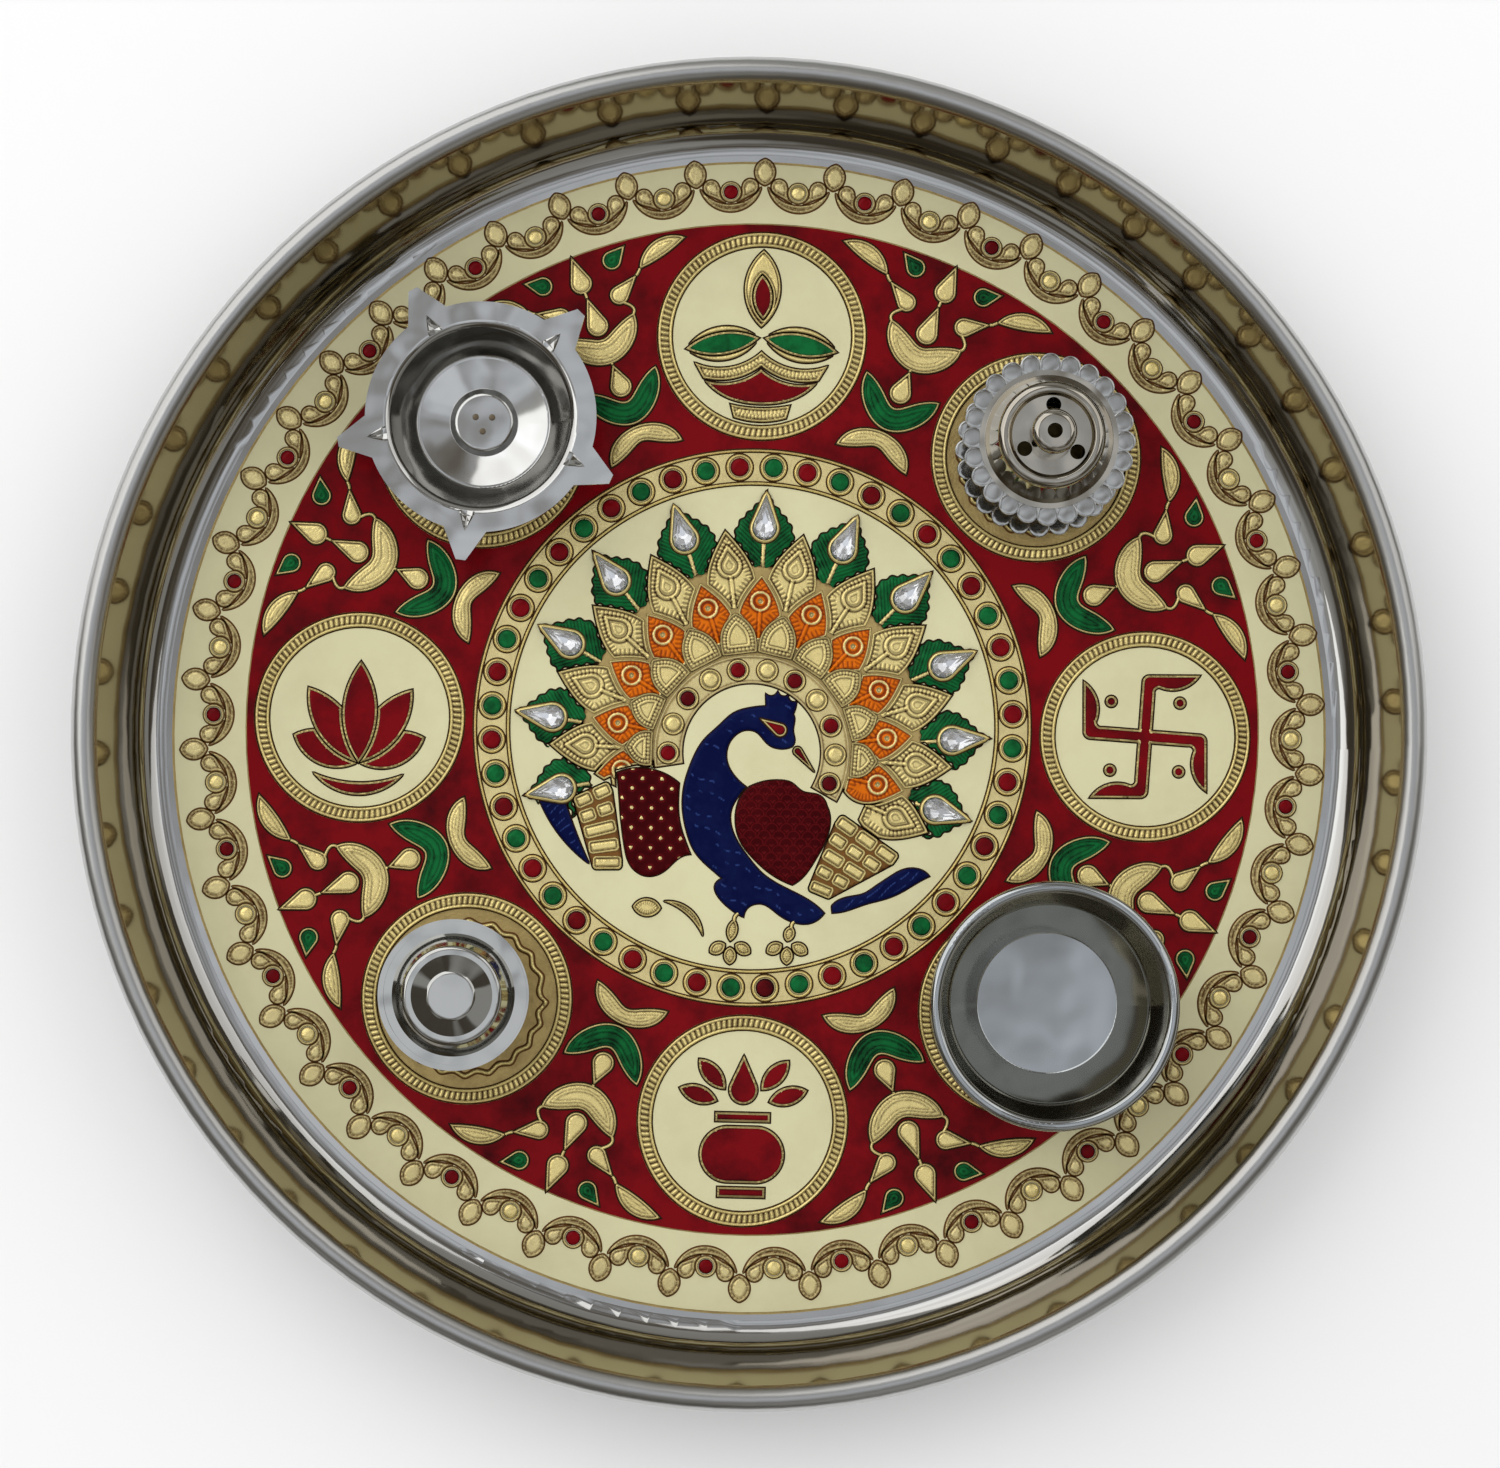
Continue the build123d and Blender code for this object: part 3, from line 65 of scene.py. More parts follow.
low, high = span("cream_centre")
middle = ((low + high) / 2)[:2]
centre_r = (high[0] - low[0]) / 2
relief_z = high[2]
relief_h = span("gold_feathers")[1][2] - relief_z
print("pattern middle", middle.round(3), "relief from", round(relief_z, 3), "height", round(relief_h, 3))

# %% [markdown]
# ## Finishes
# A Principled shader is set up by one short function. Foil, lacquer and steel differ in a few values.
# Nodes are joined by small functions that give back an output, so an effect reads like a sum.
# A value called groove is stored on the embossed meshes: it is 1 down in a pressed line and 0 on top.
# The brown patina that was wiped over the foil stays in the grooves, so the colour follows that value.


# %% A function for materials
def material(name, colour, roughness, metallic=0.0, **sockets):
    """A Principled material with its plain values set on the shader's own sockets."""
    made = bpy.data.materials.new(name)
    made.use_nodes = True
    shader = made.node_tree.nodes["Principled BSDF"]
    shader.inputs["Base Color"].default_value = (*colour, 1.0)
    shader.inputs["Roughness"].default_value = roughness
    shader.inputs["Metallic"].default_value = metallic
    for socket, value in sockets.items():
        shader.inputs[socket.replace("_", " ")].default_value = value
    return made


# %% Functions for nodes
def feed(tree, socket, value):
    """Links another node's output to an input, or sets the input to a plain value."""
    if isinstance(value, bpy.types.NodeSocket):
        tree.links.new(value, socket)
    else:
        socket.default_value = value


def node(tree, kind, *sources, **settings):
    """A node with its settings. Sources feed its inputs in order, and in_X feeds the input X."""
    made = tree.nodes.new(kind)
    inputs = {key[3:].replace("_", " "): settings.pop(key) for key in list(settings) if key.startswith("in_")}
    for key, value in settings.items():
        setattr(made, key, value)
    for place, value in [*enumerate(sources), *inputs.items()]:
        feed(tree, made.inputs[place], value)
    return made


def calc(tree, operation, *sources, **settings):
    """The result of a sum on values."""
    return node(tree, "ShaderNodeMath", *sources, operation=operation, **settings).outputs["Value"]


def noise(tree, place, **settings):
    """Soft noise at a place."""
    return node(tree, "ShaderNodeTexNoise", in_Vector=place, **settings).outputs["Fac"]


def spread(tree, value, low, high, to_low=0.0, to_high=1.0):
    """A value moved from one range to another."""
    settings = {"in_From_Min": low, "in_From_Max": high, "in_To_Min": to_low, "in_To_Max": to_high}
    return node(tree, "ShaderNodeMapRange", in_Value=value, **settings).outputs["Result"]


def blend(tree, share, first, second):
    """A colour between two colours."""
    made = node(tree, "ShaderNodeMix", share, data_type="RGBA")
    feed(tree, made.inputs[6], first)
    feed(tree, made.inputs[7], second)
    return made.outputs[2]


# %% Functions for shared effects
def effect_group(name, inputs, outputs):
    """An empty node group with named inputs, each with its usual value, and named outputs."""
    group = bpy.data.node_groups.new(name, "ShaderNodeTree")
    for title, (kind, value) in inputs.items():
        socket = group.interface.new_socket(title, in_out="INPUT", socket_type="NodeSocket" + kind)
        socket.default_value = value
    for title, kind in outputs.items():
        group.interface.new_socket(title, in_out="OUTPUT", socket_type="NodeSocket" + kind)
    return group, group.nodes.new("NodeGroupInput").outputs


def close_group(group, **results):
    """Links the results to the group's outputs."""
    out = group.nodes.new("NodeGroupOutput")
    for title, source in results.items():
        group.links.new(source, out.inputs[title])
    return group


def place_effect(made, group, values):
    """Places a group in a material with its own values, and wires its colour and roughness."""
    tree = made.node_tree
    effect = node(tree, "ShaderNodeGroup", node_tree=group)
    for title, value in values.items():
        effect.inputs[title].default_value = value
    shader = tree.nodes["Principled BSDF"]
    tree.links.new(effect.outputs["Color"], shader.inputs["Base Color"])
    tree.links.new(effect.outputs["Roughness"], shader.inputs["Roughness"])
    return effect.outputs


print("functions for nodes ready")

# %% [markdown]
# ## Patina as a shared effect
# Foil and lacquers all darken in the grooves and are all a little blotchy.
# One node group does this: it takes a top colour and a groove colour and gives the mixed colour,
# a roughness and a height for fine hammer marks. Each material wires those to its own shader.

# %% The patina group
blotch_range, groove_rough = (0.42, 0.78), 0.25


def patina_group():
    """A node group: colours, blotch size and strength in; colour, roughness and height out."""
    inputs = {
        "Top": ("Color", (0.8, 0.6, 0.3, 1)),
        "Groove": ("Color", (0.1, 0.05, 0.01, 1)),
        "Blotch": ("Float", 0.35),
        "Scale": ("Float", 120.0),
        "Roughness": ("Float", 0.3),
    }
    outputs = {"Color": "Color", "Roughness": "Float", "Height": "Float"}
    group, into = effect_group("patina", inputs, outputs)
    groove = node(group, "ShaderNodeAttribute", attribute_name="groove").outputs["Fac"]
    place = node(group, "ShaderNodeTexCoord").outputs["Object"]
    blotch = noise(group, place, in_Scale=into["Scale"], in_Detail=5.0, in_Roughness=0.65)
    grain = noise(group, place, in_Scale=1500.0, in_Detail=4.0)
    weighed = calc(group, "MULTIPLY", spread(group, blotch, *blotch_range), into["Blotch"])
    total = calc(group, "ADD", weighed, groove, use_clamp=True)
    colour = blend(group, total, into["Top"], into["Groove"])
    rough = calc(group, "MULTIPLY_ADD", total, groove_rough, into["Roughness"])
    return close_group(group, Color=colour, Roughness=rough, Height=grain)


patina = patina_group()
print("patina", len(patina.nodes), "nodes")

# %% Foil and lacquers
hammer_depth = 0.0002


def lacquer(name, top, groove, roughness, metallic, blotch, scale, bump, gloss):
    """A foil or lacquer material that uses the patina group."""
    made = material(name, top, roughness, metallic, Specular_IOR_Level=gloss)
    colours = {"Top": (*top, 1), "Groove": (*groove, 1)}
    amounts = {"Blotch": blotch, "Scale": scale, "Roughness": roughness}
    effect = place_effect(made, patina, colours | amounts)
    tree = made.node_tree
    marks = {"in_Strength": bump, "in_Distance": hammer_depth, "in_Height": effect["Height"]}
    relief = node(tree, "ShaderNodeBump", **marks)
    tree.links.new(relief.outputs["Normal"], tree.nodes["Principled BSDF"].inputs["Normal"])
    return made


finish_table = {
    # name: top colour, groove colour, roughness, metallic, blotch, blotch scale, grain, gloss
    "gold_foil": ((1.0, 0.82, 0.34), (0.050, 0.018, 0.004), 0.18, 0.72, 0.2, 160.0, 0.55, 0.3),
    "pale_foil": ((0.82, 0.69, 0.33), (0.12, 0.055, 0.013), 0.22, 0.6, 0.3, 180.0, 0.5, 0.3),
    "old_foil": ((0.50, 0.37, 0.145), (0.10, 0.05, 0.013), 0.32, 0.6, 0.45, 180.0, 0.5, 0.3),
    "patina_line": ((0.055, 0.018, 0.005), (0.02, 0.008, 0.003), 0.45, 0.3, 0.35, 120.0, 0.04, 0.12),
    "soft_patina_line": ((0.20, 0.09, 0.022), (0.10, 0.04, 0.01), 0.45, 0.3, 0.35, 120.0, 0.04, 0.12),
    "cream_lacquer": ((0.64, 0.61, 0.37), (0.40, 0.31, 0.15), 0.22, 0.0, 0.22, 60.0, 0.05, 0.3),
    "crimson_lacquer": ((0.185, 0.003, 0.006), (0.018, 0.001, 0.002), 0.14, 0.15, 1.0, 65.0, 0.04, 0.07),
    "wine_lacquer": ((0.040, 0.001, 0.002), (0.13, 0.005, 0.007), 0.14, 0.2, 0.3, 200.0, 0.04, 0.05),
    "emerald_lacquer": ((0.006, 0.135, 0.034), (0.002, 0.015, 0.005), 0.14, 0.2, 0.9, 240.0, 0.04, 0.08),
    "amber_lacquer": ((0.76, 0.165, 0.004), (0.20, 0.026, 0.002), 0.16, 0.3, 0.4, 200.0, 0.04, 0.12),
    "navy_lacquer": ((0.002, 0.004, 0.040), (0.025, 0.05, 0.19), 0.16, 0.15, 0.15, 150.0, 0.04, 0.05),
}
finishes = {title: lacquer(title, *values) for title, values in finish_table.items()}
gold, pale_foil, old_foil, dark_line, soft_line, *lacquers = finishes.values()
cream, crimson, wine, emerald, amber, navy = lacquers
print("finishes", len(bpy.data.materials))

# %% [markdown]
# ## Reading outlines from the CAD plates
# Each motif in the CAD model is a flat plate. Its top face has one outline, or more where it has holes.
# The mesh is made of triangles, so an outline edge is one that has a top triangle on one side only.
# Walking along those edges gives the outlines, with the inside always on the left. The faces wait in a
# dictionary and not in a set, because a dictionary keeps its order and every run gives the same mesh.

# %% Outlines of a plate
same_point = 1e-6
face_level = 1e-5


def area(ring):
    """Signed area of a closed outline."""
    x, y = ring.T
    return 0.5 * float(np.sum(x * np.roll(y, -1) - y * np.roll(x, -1)))


def outlines(name):
    """The top faces of a CAD node as regions, each a list of closed outlines in millimetres."""
    work = bmesh.new()
    work.from_mesh(nodes[name].data)
    bmesh.ops.remove_doubles(work, verts=work.verts, dist=same_point)
    top = max(vert.co.z for vert in work.verts) - face_level
    faces = dict.fromkeys(face for face in work.faces if min(vert.co.z for vert in face.verts) > top)
    regions = []
    while faces:
        island = [faces.popitem()[0]]
        for face in island:
            for edge in face.edges:
                for other in edge.link_faces:
                    if other in faces:
                        del faces[other]
                        island.append(other)
        members = set(island)
        following = {}
        for face in island:
            for loop in face.loops:
                if sum(other in members for other in loop.edge.link_faces) == 1:
                    following[loop.vert] = loop.link_loop_next.vert
        rings = []
        while following:
            start, vert = following.popitem()
            ring = [start.co.xy / MM]
            while vert is not start:
                ring.append(vert.co.xy / MM)
                vert = following.pop(vert)
            rings.append(np.array(ring))
        regions.append(sorted(rings, key=lambda ring: -abs(area(ring))))
    work.free()
    return regions


scroll_outlines = outlines("border_scrolls")
print("outlines of border_scrolls", len(scroll_outlines))

# %% Even points on an outline
corner_turn = 48.0
long_edge = 2.5
shortest_edge = 1e-3


def smooth_ring(ring, step, corner=corner_turn):
    """A closed outline with even points: smooth through the CAD points, sharp where it has a corner."""
    ring = ring[np.linalg.norm(np.roll(ring, -1, 0) - ring, axis=1) > shortest_edge]
    edge = np.roll(ring, -1, 0) - ring
    length = np.linalg.norm(edge, axis=1)
    heading = np.arctan2(edge[:, 1], edge[:, 0])
    turn = np.degrees(np.abs((heading - np.roll(heading, 1) + np.pi) % (2 * np.pi) - np.pi))
    count = len(ring)
    points = []
    for index in range(count):
        here, there = ring[index], ring[(index + 1) % count]
        parts = max(1, round(length[index] / step))
        t = np.arange(parts)[:, None] / parts
        sharp_here = turn[index] > corner
        sharp_there = turn[(index + 1) % count] > corner
        straight = length[index] > long_edge * max(length[index - 1], length[(index + 1) % count])
        if straight or (sharp_here and sharp_there):
            points.append(here + (there - here) * t)
            continue
        before = here if sharp_here else ring[index - 1]
        after = there if sharp_there else ring[(index + 2) % count]
        ways = (there - here, here - before, after - there)
        gap, gap_before, gap_after = (np.linalg.norm(way) for way in ways)
        slope_here = (there - before) * length[index] / max(gap + gap_before, same_point)
        slope_there = (after - here) * length[index] / max(gap_after + gap, same_point)
        curve = (2 * t**3 - 3 * t**2 + 1) * here + (t**3 - 2 * t**2 + t) * slope_here
        points.append(curve + (3 * t**2 - 2 * t**3) * there + (t**3 - t**2) * slope_there)
    return np.vstack(points)


def normals(ring):
    """Directions that point into the shape, one at each point of an outline, longer at corners."""
    ahead = np.roll(ring, -1, 0) - ring
    behind = ring - np.roll(ring, 1, 0)
    left = []
    for way in (ahead, behind):
        left.append(np.stack([-way[:, 1], way[:, 0]], 1) / np.linalg.norm(way, axis=1)[:, None])
    both = left[0] + left[1]
    scale = np.maximum((both**2).sum(1) / 2, 0.5)
    return both / scale[:, None]


print("even points on one scroll", len(smooth_ring(scroll_outlines[0][0], 0.3)))

# %% [markdown]
# ## From an outline to an embossed shape
# Points are scattered evenly inside the outline and joined to triangles. Each point knows how far it
# is from the edge and where along the edge it is, and a style turns those two numbers into a height.
# So one function presses rims, grooves, combs and crowned enamel, whatever the outline is.

# %% Distances to an outline
batch = 2000


def edge_field(points, rings):
    """Distance of each point to the nearest outline, and the place along it."""
    starts = np.vstack(rings)
    ends = np.vstack([np.roll(ring, -1, 0) for ring in rings])
    steps = [np.linalg.norm(np.roll(ring, -1, 0) - ring, axis=1) for ring in rings]
    along = np.concatenate([np.concatenate([[0], np.cumsum(step)[:-1]]) for step in steps])
    way = ends - starts
    length2 = np.maximum((way**2).sum(1), 1e-12)
    d = np.empty(len(points))
    s = np.empty(len(points))
    for low in range(0, len(points), batch):
        part = points[low : low + batch]
        gap = part[:, None, :] - starts[None]
        t = np.clip((gap * way[None]).sum(2) / length2, 0, 1)
        far = ((gap - t[..., None] * way[None]) ** 2).sum(2)
        best = far.argmin(1)
        rows = np.arange(len(part))
        d[low : low + batch] = np.sqrt(far[rows, best])
        s[low : low + batch] = along[best] + t[rows, best] * np.sqrt(length2[best])
    return d, s


def inside(points, rings):
    """Which points lie inside the outlines."""
    starts = np.vstack(rings)
    ends = np.vstack([np.roll(ring, -1, 0) for ring in rings])
    found = np.zeros(len(points), int)
    for low in range(0, len(points), batch):
        part = points[low : low + batch]
        y = part[:, 1][:, None]
        crossing = (starts[:, 1] > y) != (ends[:, 1] > y)
        rise = np.where(ends[:, 1] == starts[:, 1], 1e-12, ends[:, 1] - starts[:, 1])
        x = starts[:, 0] + (y - starts[:, 1]) / rise * (ends[:, 0] - starts[:, 0])
        found[low : low + batch] = (crossing & (part[:, 0][:, None] < x)).sum(1)
    return found % 2 == 1


# %% Triangles inside an outline
row_pitch = 0.866
clear_share = 0.45
inset_share = 0.93


def fill(rings, step, insets=()):
    """Even points inside outlines, with extra rows at the given insets; returns points and triangles."""
    edge_points = np.vstack(rings)
    extra = []
    for inset in insets:
        for ring in rings:
            row = ring + normals(ring) * inset
            d, _ = edge_field(row, rings)
            extra.append(row[inside(row, rings) & (d > inset_share * inset)])
    low, high = edge_points.min(0), edge_points.max(0)
    x = np.arange(low[0], high[0] + step, step)
    y = np.arange(low[1], high[1] + step, step * row_pitch)
    grid = np.array([(a + (row % 2) * step / 2, b) for row, b in enumerate(y) for a in x])
    grid = grid[inside(grid, rings)]
    if len(grid):
        d, _ = edge_field(grid, rings)
        near = np.zeros(len(grid), bool)
        for inset in insets:
            near |= np.abs(d - inset) < clear_share * step
        grid = grid[(d > clear_share * step) & ~near]
    points = np.vstack([edge_points, *extra, grid])
    edges = []
    base = 0
    for ring in rings:
        edges += [(base + index, base + (index + 1) % len(ring)) for index in range(len(ring))]
        base += len(ring)
    out = geometry.delaunay_2d_cdt([Vector(point) for point in points], edges, [], 0, 1e-5)
    points = np.array([tuple(vert) for vert in out[0]])
    triangles = np.array([face for face in out[2] if len(face) == 3])
    triangles = triangles[inside(points[triangles].mean(1), rings)]
    return points, triangles


# %% One mesh from many parts
class Sheet:
    """Collects points, faces, finishes and groove values, and makes one object of them."""

    def __init__(self):
        self.points, self.faces, self.finish, self.groove, self.count = [], [], [], [], 0

    def add(self, points, faces, finish=0, groove=0.0):
        points = np.asarray(points, float)
        self.points.append(points)
        self.faces += [tuple(int(corner) + self.count for corner in face) for face in faces]
        self.finish.append(np.broadcast_to(finish, len(faces)))
        self.groove.append(np.broadcast_to(groove, len(points)))
        self.count += len(points)

    def repeat(self, count):
        """Copies all that is here so far evenly round the pattern's middle."""
        points, faces = np.vstack(self.points), list(self.faces)
        finish, groove = np.concatenate(self.finish), np.concatenate(self.groove)
        for step in range(1, count):
            turn = 2 * np.pi * step / count
            spin = np.array([[np.cos(turn), np.sin(turn)], [-np.sin(turn), np.cos(turn)]])
            moved = points.copy()
            moved[:, :2] = (points[:, :2] - middle) @ spin + middle
            self.add(moved, faces, finish, groove)

    def build(self, name, finishes, replaced=(), body="tray", slot="gold_foil", smooth=True):
        mesh = bpy.data.meshes.new(name)
        mesh.from_pydata((np.vstack(self.points) * MM).tolist(), [], self.faces)
        for finish in finishes:
            mesh.materials.append(finish)
        mesh.polygons.foreach_set("material_index", np.concatenate(self.finish).astype(np.int32))
        mesh.polygons.foreach_set("use_smooth", np.full(len(mesh.polygons), smooth))
        values = mesh.attributes.new("groove", "FLOAT", "POINT")
        values.data.foreach_set("value", np.concatenate(self.groove).astype(np.float32))
        made = bpy.data.objects.new(name, mesh)
        scene.collection.objects.link(made)
        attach(made, body)
        if replaced:
            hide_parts(*replaced)
        print(name, len(mesh.vertices), "points")
        return made


# %% Press one motif
halo_w = 0.34
wave_rate = 2.4
lowest, ground_lift = 0.04, 0.02
edge_groove = 0.8


def strip(rows, count):
    """Faces that join closed rows of points, one row after the other."""
    index = np.arange(count)
    after = (index + 1) % count
    quads = np.column_stack([after, index, count + index, count + after])
    return np.vstack([quads + row * count for row in range(rows - 1)])


def press(sheet, rings, style, bottom, height, step=0.34, insets=(0.45, 0.9), halo=halo_w, wave=0.0):
    """Adds one embossed shape: its pressed top, its edge down to the ground, and a patina line round it."""
    rings = [smooth_ring(ring, step) for ring in rings]
    if wave:
        depths = [wave * (0.5 + 0.5 * np.sin(np.arange(len(ring)) * step * wave_rate)) for ring in rings]
        rings = [ring + normals(ring) * depth[:, None] for ring, depth in zip(rings, depths)]
    points, triangles = fill(rings, step, insets)
    d, s = edge_field(points, rings)
    z, groove, finish = style(d, s, points)
    flat = np.column_stack([points, bottom + height * np.clip(z, lowest, 1)])
    sheet.add(flat, triangles, np.asarray(finish)[triangles].min(1), np.clip(groove, 0, 1))
    for ring in rings:
        edge_z = style(np.zeros(len(ring)), np.arange(len(ring)) * step, ring)[0]
        upper = np.column_stack([ring, bottom + height * np.clip(edge_z, lowest, 1)])
        lower = np.column_stack([ring, np.full(len(ring), bottom + ground_lift)])
        outer = np.column_stack([ring - normals(ring) * halo, np.full(len(ring), bottom + ground_lift)])
        sheet.add(np.vstack([upper, lower, outer]), strip(3, len(ring)), 1, edge_groove)


# %% Press a whole CAD node
whole_sectors, sector_slack = 3, 1 / 18


def press_node(name, style, finishes, slot="gold_foil", repeat=1, **settings):
    """Presses every region of a CAD node, or one sector of it and then the same all round."""
    low, high = span(name)
    sheet = Sheet()
    regions = outlines(name)
    if repeat > 1:
        turns = [np.degrees(np.arctan2(*(ring[0].mean(0) - middle)[::-1])) % 360 for ring in regions]
        width = 360 / repeat
        start = min(turns) - 0.01 + width * (whole_sectors - sector_slack)
        regions = [ring for ring, turn in zip(regions, turns) if start <= turn < start + width]
    for rings in regions:
        look = style(rings) if getattr(style, "by_shape", False) else style
        press(sheet, rings, look, low[2], high[2] - low[2], **settings)
    if repeat > 1:
        sheet.repeat(repeat)
    return sheet.build(name + "_relief", finishes, (name,), slot=slot)


# %% [markdown]
# ## Styles
# A style says how the foil was pressed. Most motifs have a half-round rim, a groove inside it and a
# pad in the middle; some have short comb lines along the rim, and enamel instead of the pad.
# The groove values collect the brown patina, which is what makes such work readable.

# %% Styles for motifs
floor_z, foot_w = 0.3, 0.13


def smooth(low, high, value):
    """0 below low, 1 above high, and an S-curve between them."""
    t = np.clip((value - low) / (high - low), 0, 1)
    return t * t * (3 - 2 * t)


def pressed(rim, groove_w, pad, comb=0.0, pitch=1.0, zone=(1.3, 2.6), enamel=False):
    """A rim, a groove and a pad; comb lines run along the rim where their depth isn't 0."""

    def style(d, s, points):
        z = floor_z + (1 - floor_z) * np.sin(np.pi * np.clip(d / rim, 0, 1))
        inner = smooth(rim + 0.4 * groove_w, rim + 1.6 * groove_w, d)
        z = np.where(d < rim, z, floor_z + (pad - floor_z) * inner)
        foot = 0.7 * np.exp(-((d / foot_w) ** 2))
        groove = np.exp(-(((d - rim - 0.3 * groove_w) / (0.55 * groove_w)) ** 2)) + foot
        if comb:
            tooth = 0.5 + 0.5 * np.cos(2 * np.pi * s / pitch)
            window = smooth(zone[0] - 0.2, zone[0] + 0.15, d) * (1 - smooth(zone[1] - 0.2, zone[1] + 0.3, d))
            z = z + comb * (tooth - 0.6) * window
            groove = groove + 0.75 * (1 - tooth) ** 2 * window
        finish = np.where((d >= rim - 1e-3) & enamel, 2, 0)
        return z, groove, finish

    return style


def crowned(top, edge, reach, finish=0, dark=0.16):
    """A plain rounded form that rises from its edge."""

    def style(d, s, points):
        t = np.clip(d / reach, 0, 1)
        z = edge + (top - edge) * np.sqrt(1 - (1 - t) ** 2)
        return z, 0.9 * np.exp(-((d / dark) ** 2)), np.full(len(d), finish)

    return style


# %% Raised lines on a style
def line_on(z, groove, far, width=0.3, rise=0.35, dark=0.75):
    """Presses a raised line where far is 0, with a dark groove on both sides."""
    bead = np.exp(-((far / width) ** 2))
    shade = np.exp(-(((np.abs(far) - 1.9 * width) / (0.7 * width)) ** 2))
    return z + rise * bead - 0.12 * shade, groove * (1 - bead) + dark * shade


def veined(base, inset, width):
    """Another style with one more raised line, at an inset from the edge."""

    def style(d, s, points):
        z, groove, finish = base(d, s, points)
        return *line_on(z, groove, d - inset, width, 0.2, 0.7), finish

    return style


# %% Finishes of the motifs
foil = [gold, dark_line]
border_foil = [pale_foil, soft_line]
red_foil, green_foil, amber_foil = [*foil, crimson], [*foil, emerald], [*foil, amber]
navy_foil, wine_foil = [*foil, navy], [*foil, wine]
print("lacquered motifs take", len(red_foil), "finishes each")

# %% [markdown]
# ## Flower sprays and border scrolls
# These are the repeated motifs: the border has the same unit all the way round, and a spray stands
# between each two medallions. One unit is pressed and then copied round the middle of the pattern.

# %% Press the repeated motifs
spray_count, border_count = 8, 50
plain = pressed(0.45, 0.3, 0.65)
leafy = veined(plain, 1.75, 0.2)
line_insets, enamel_insets = (0.25, 0.5), (0.2, 0.41)
for name, style in (("bows", leafy), ("cups", leafy), ("drops", plain), ("leaves", leafy)):
    press_node("spray_" + name, style, foil, repeat=spray_count, insets=line_insets)
enamelled = veined(pressed(0.4, 0.3, 0.45, enamel=True), 1.6, 0.25)
for name in ("green_cups", "green_drops"):
    press_node(name, enamelled, green_foil, "emerald_enamel", repeat=spray_count, insets=enamel_insets)
for name, groove_w, pad in (("scrolls", 0.35, 0.4), ("curls", 0.35, 0.75), ("buds", 0.38, 0.65)):
    press_node("border_" + name, pressed(0.5, groove_w, pad), border_foil, repeat=border_count, step=0.3)

# %% [markdown]
# ## Round pieces
# Beads, rings and the rope rings are round, so a section is turned about the middle of each.
# A section is a function of two numbers: the share of the way from the hole or middle to the edge,
# and the angle. Shares outside 0 to 1 lie on the ground beside the piece and hold the patina line.


# %% Turn a section
def turn(name, section, shares, finishes, slot="gold_foil", sides=32):
    """Turns a section round every round piece of a CAD node."""
    low, high = span(name)
    sheet = Sheet()
    t, angle = np.meshgrid(shares, 2 * np.pi * np.arange(sides) / sides, indexing="ij")
    z, groove = section(t, angle)
    for rings in outlines(name):
        centre = (rings[0].min(0) + rings[0].max(0)) / 2
        edges = [np.ptp(ring[:, 0]) / 2 for ring in rings] + [0.0]
        radius = edges[1] + (edges[0] - edges[1]) * t
        x, y = centre[0] + radius * np.cos(angle), centre[1] + radius * np.sin(angle)
        points = np.stack([x, y, low[2] + (high[2] - low[2]) * z], -1).reshape(-1, 3)
        faces = strip(len(shares), sides).tolist()
        if len(rings) == 1:
            faces.append(range(sides))
        sheet.add(points, faces, 0, groove.ravel())
    return sheet.build(name + "_relief", finishes, (name,), slot=slot)


def dome(t, angle):
    """A drop of lacquer that stands proud in its cell."""
    return 0.1 + 0.9 * np.sqrt(np.clip(1 - 0.96 * t**2, 0, 1)), 0.9 * smooth(0.8, 1.0, t)


def half_round(t, angle):
    """A raised line with a round top and patina at its foot."""
    bulge = np.sin(np.pi * np.clip(t, 0, 1))
    return np.maximum(0.03, 0.1 * (np.abs(t - 0.5) <= 0.51) + 0.9 * bulge), 1 - smooth(0.05, 0.4, bulge)


rope_ridges = 112


def rope(t, angle):
    """A belt of slanting ridges between two plain rims."""
    belt = smooth(0.2, 0.28, t) * (1 - smooth(0.74, 0.82, t))
    ridge = 0.5 + 0.5 * np.cos(rope_ridges * angle + 2.2 * t)
    rims = np.sin(np.pi * np.clip(t / 0.22, 0, 1)) + np.sin(np.pi * np.clip((t - 0.8) / 0.2, 0, 1))
    z = 0.5 + 0.42 * np.minimum(rims, 1) + belt * 0.4 * ridge
    groove = 1.0 * belt * (1 - ridge) ** 2 + 0.7 * np.exp(-(((t - 0.24) / 0.05) ** 2))
    groove += 0.7 * np.exp(-(((t - 0.78) / 0.04) ** 2))
    return np.where((t < 0) | (t > 1), 0.34, z), np.where((t <= 0) | (t >= 1), 1.0, np.clip(groove, 0, 1))


# %% Beads, rings and ropes
bead_rows = np.append(np.linspace(0.12, 0.9, 6), 1.0)
ring_rows = np.append(np.linspace(0, 1, 9), 1.4)
line_rows = np.concatenate([[-0.45], np.linspace(0, 1, 9), [1.45]])
rope_rows = np.concatenate([[-0.07], np.linspace(0, 1, 23), [1.07]])
for name in ("red_beads", "border_red_beads", "arch_red_beads"):
    turn(name, dome, bead_rows, [crimson], "crimson_enamel", 24)
turn("green_beads", dome, bead_rows, [emerald], "emerald_enamel", 24)
for name in ("border_gold_beads", "arch_gold_beads"):
    turn(name, dome, bead_rows, [gold], sides=24)
for name in ("bead_rings", "arch_rings"):
    turn(name, half_round, ring_rows, [gold], sides=32)
turn("border_rings", half_round, ring_rows, [pale_foil], sides=28)
turn("band_lines", half_round, line_rows, [gold], sides=360)
turn("rope_rings", rope, rope_rows, [gold], sides=6 * rope_ridges)

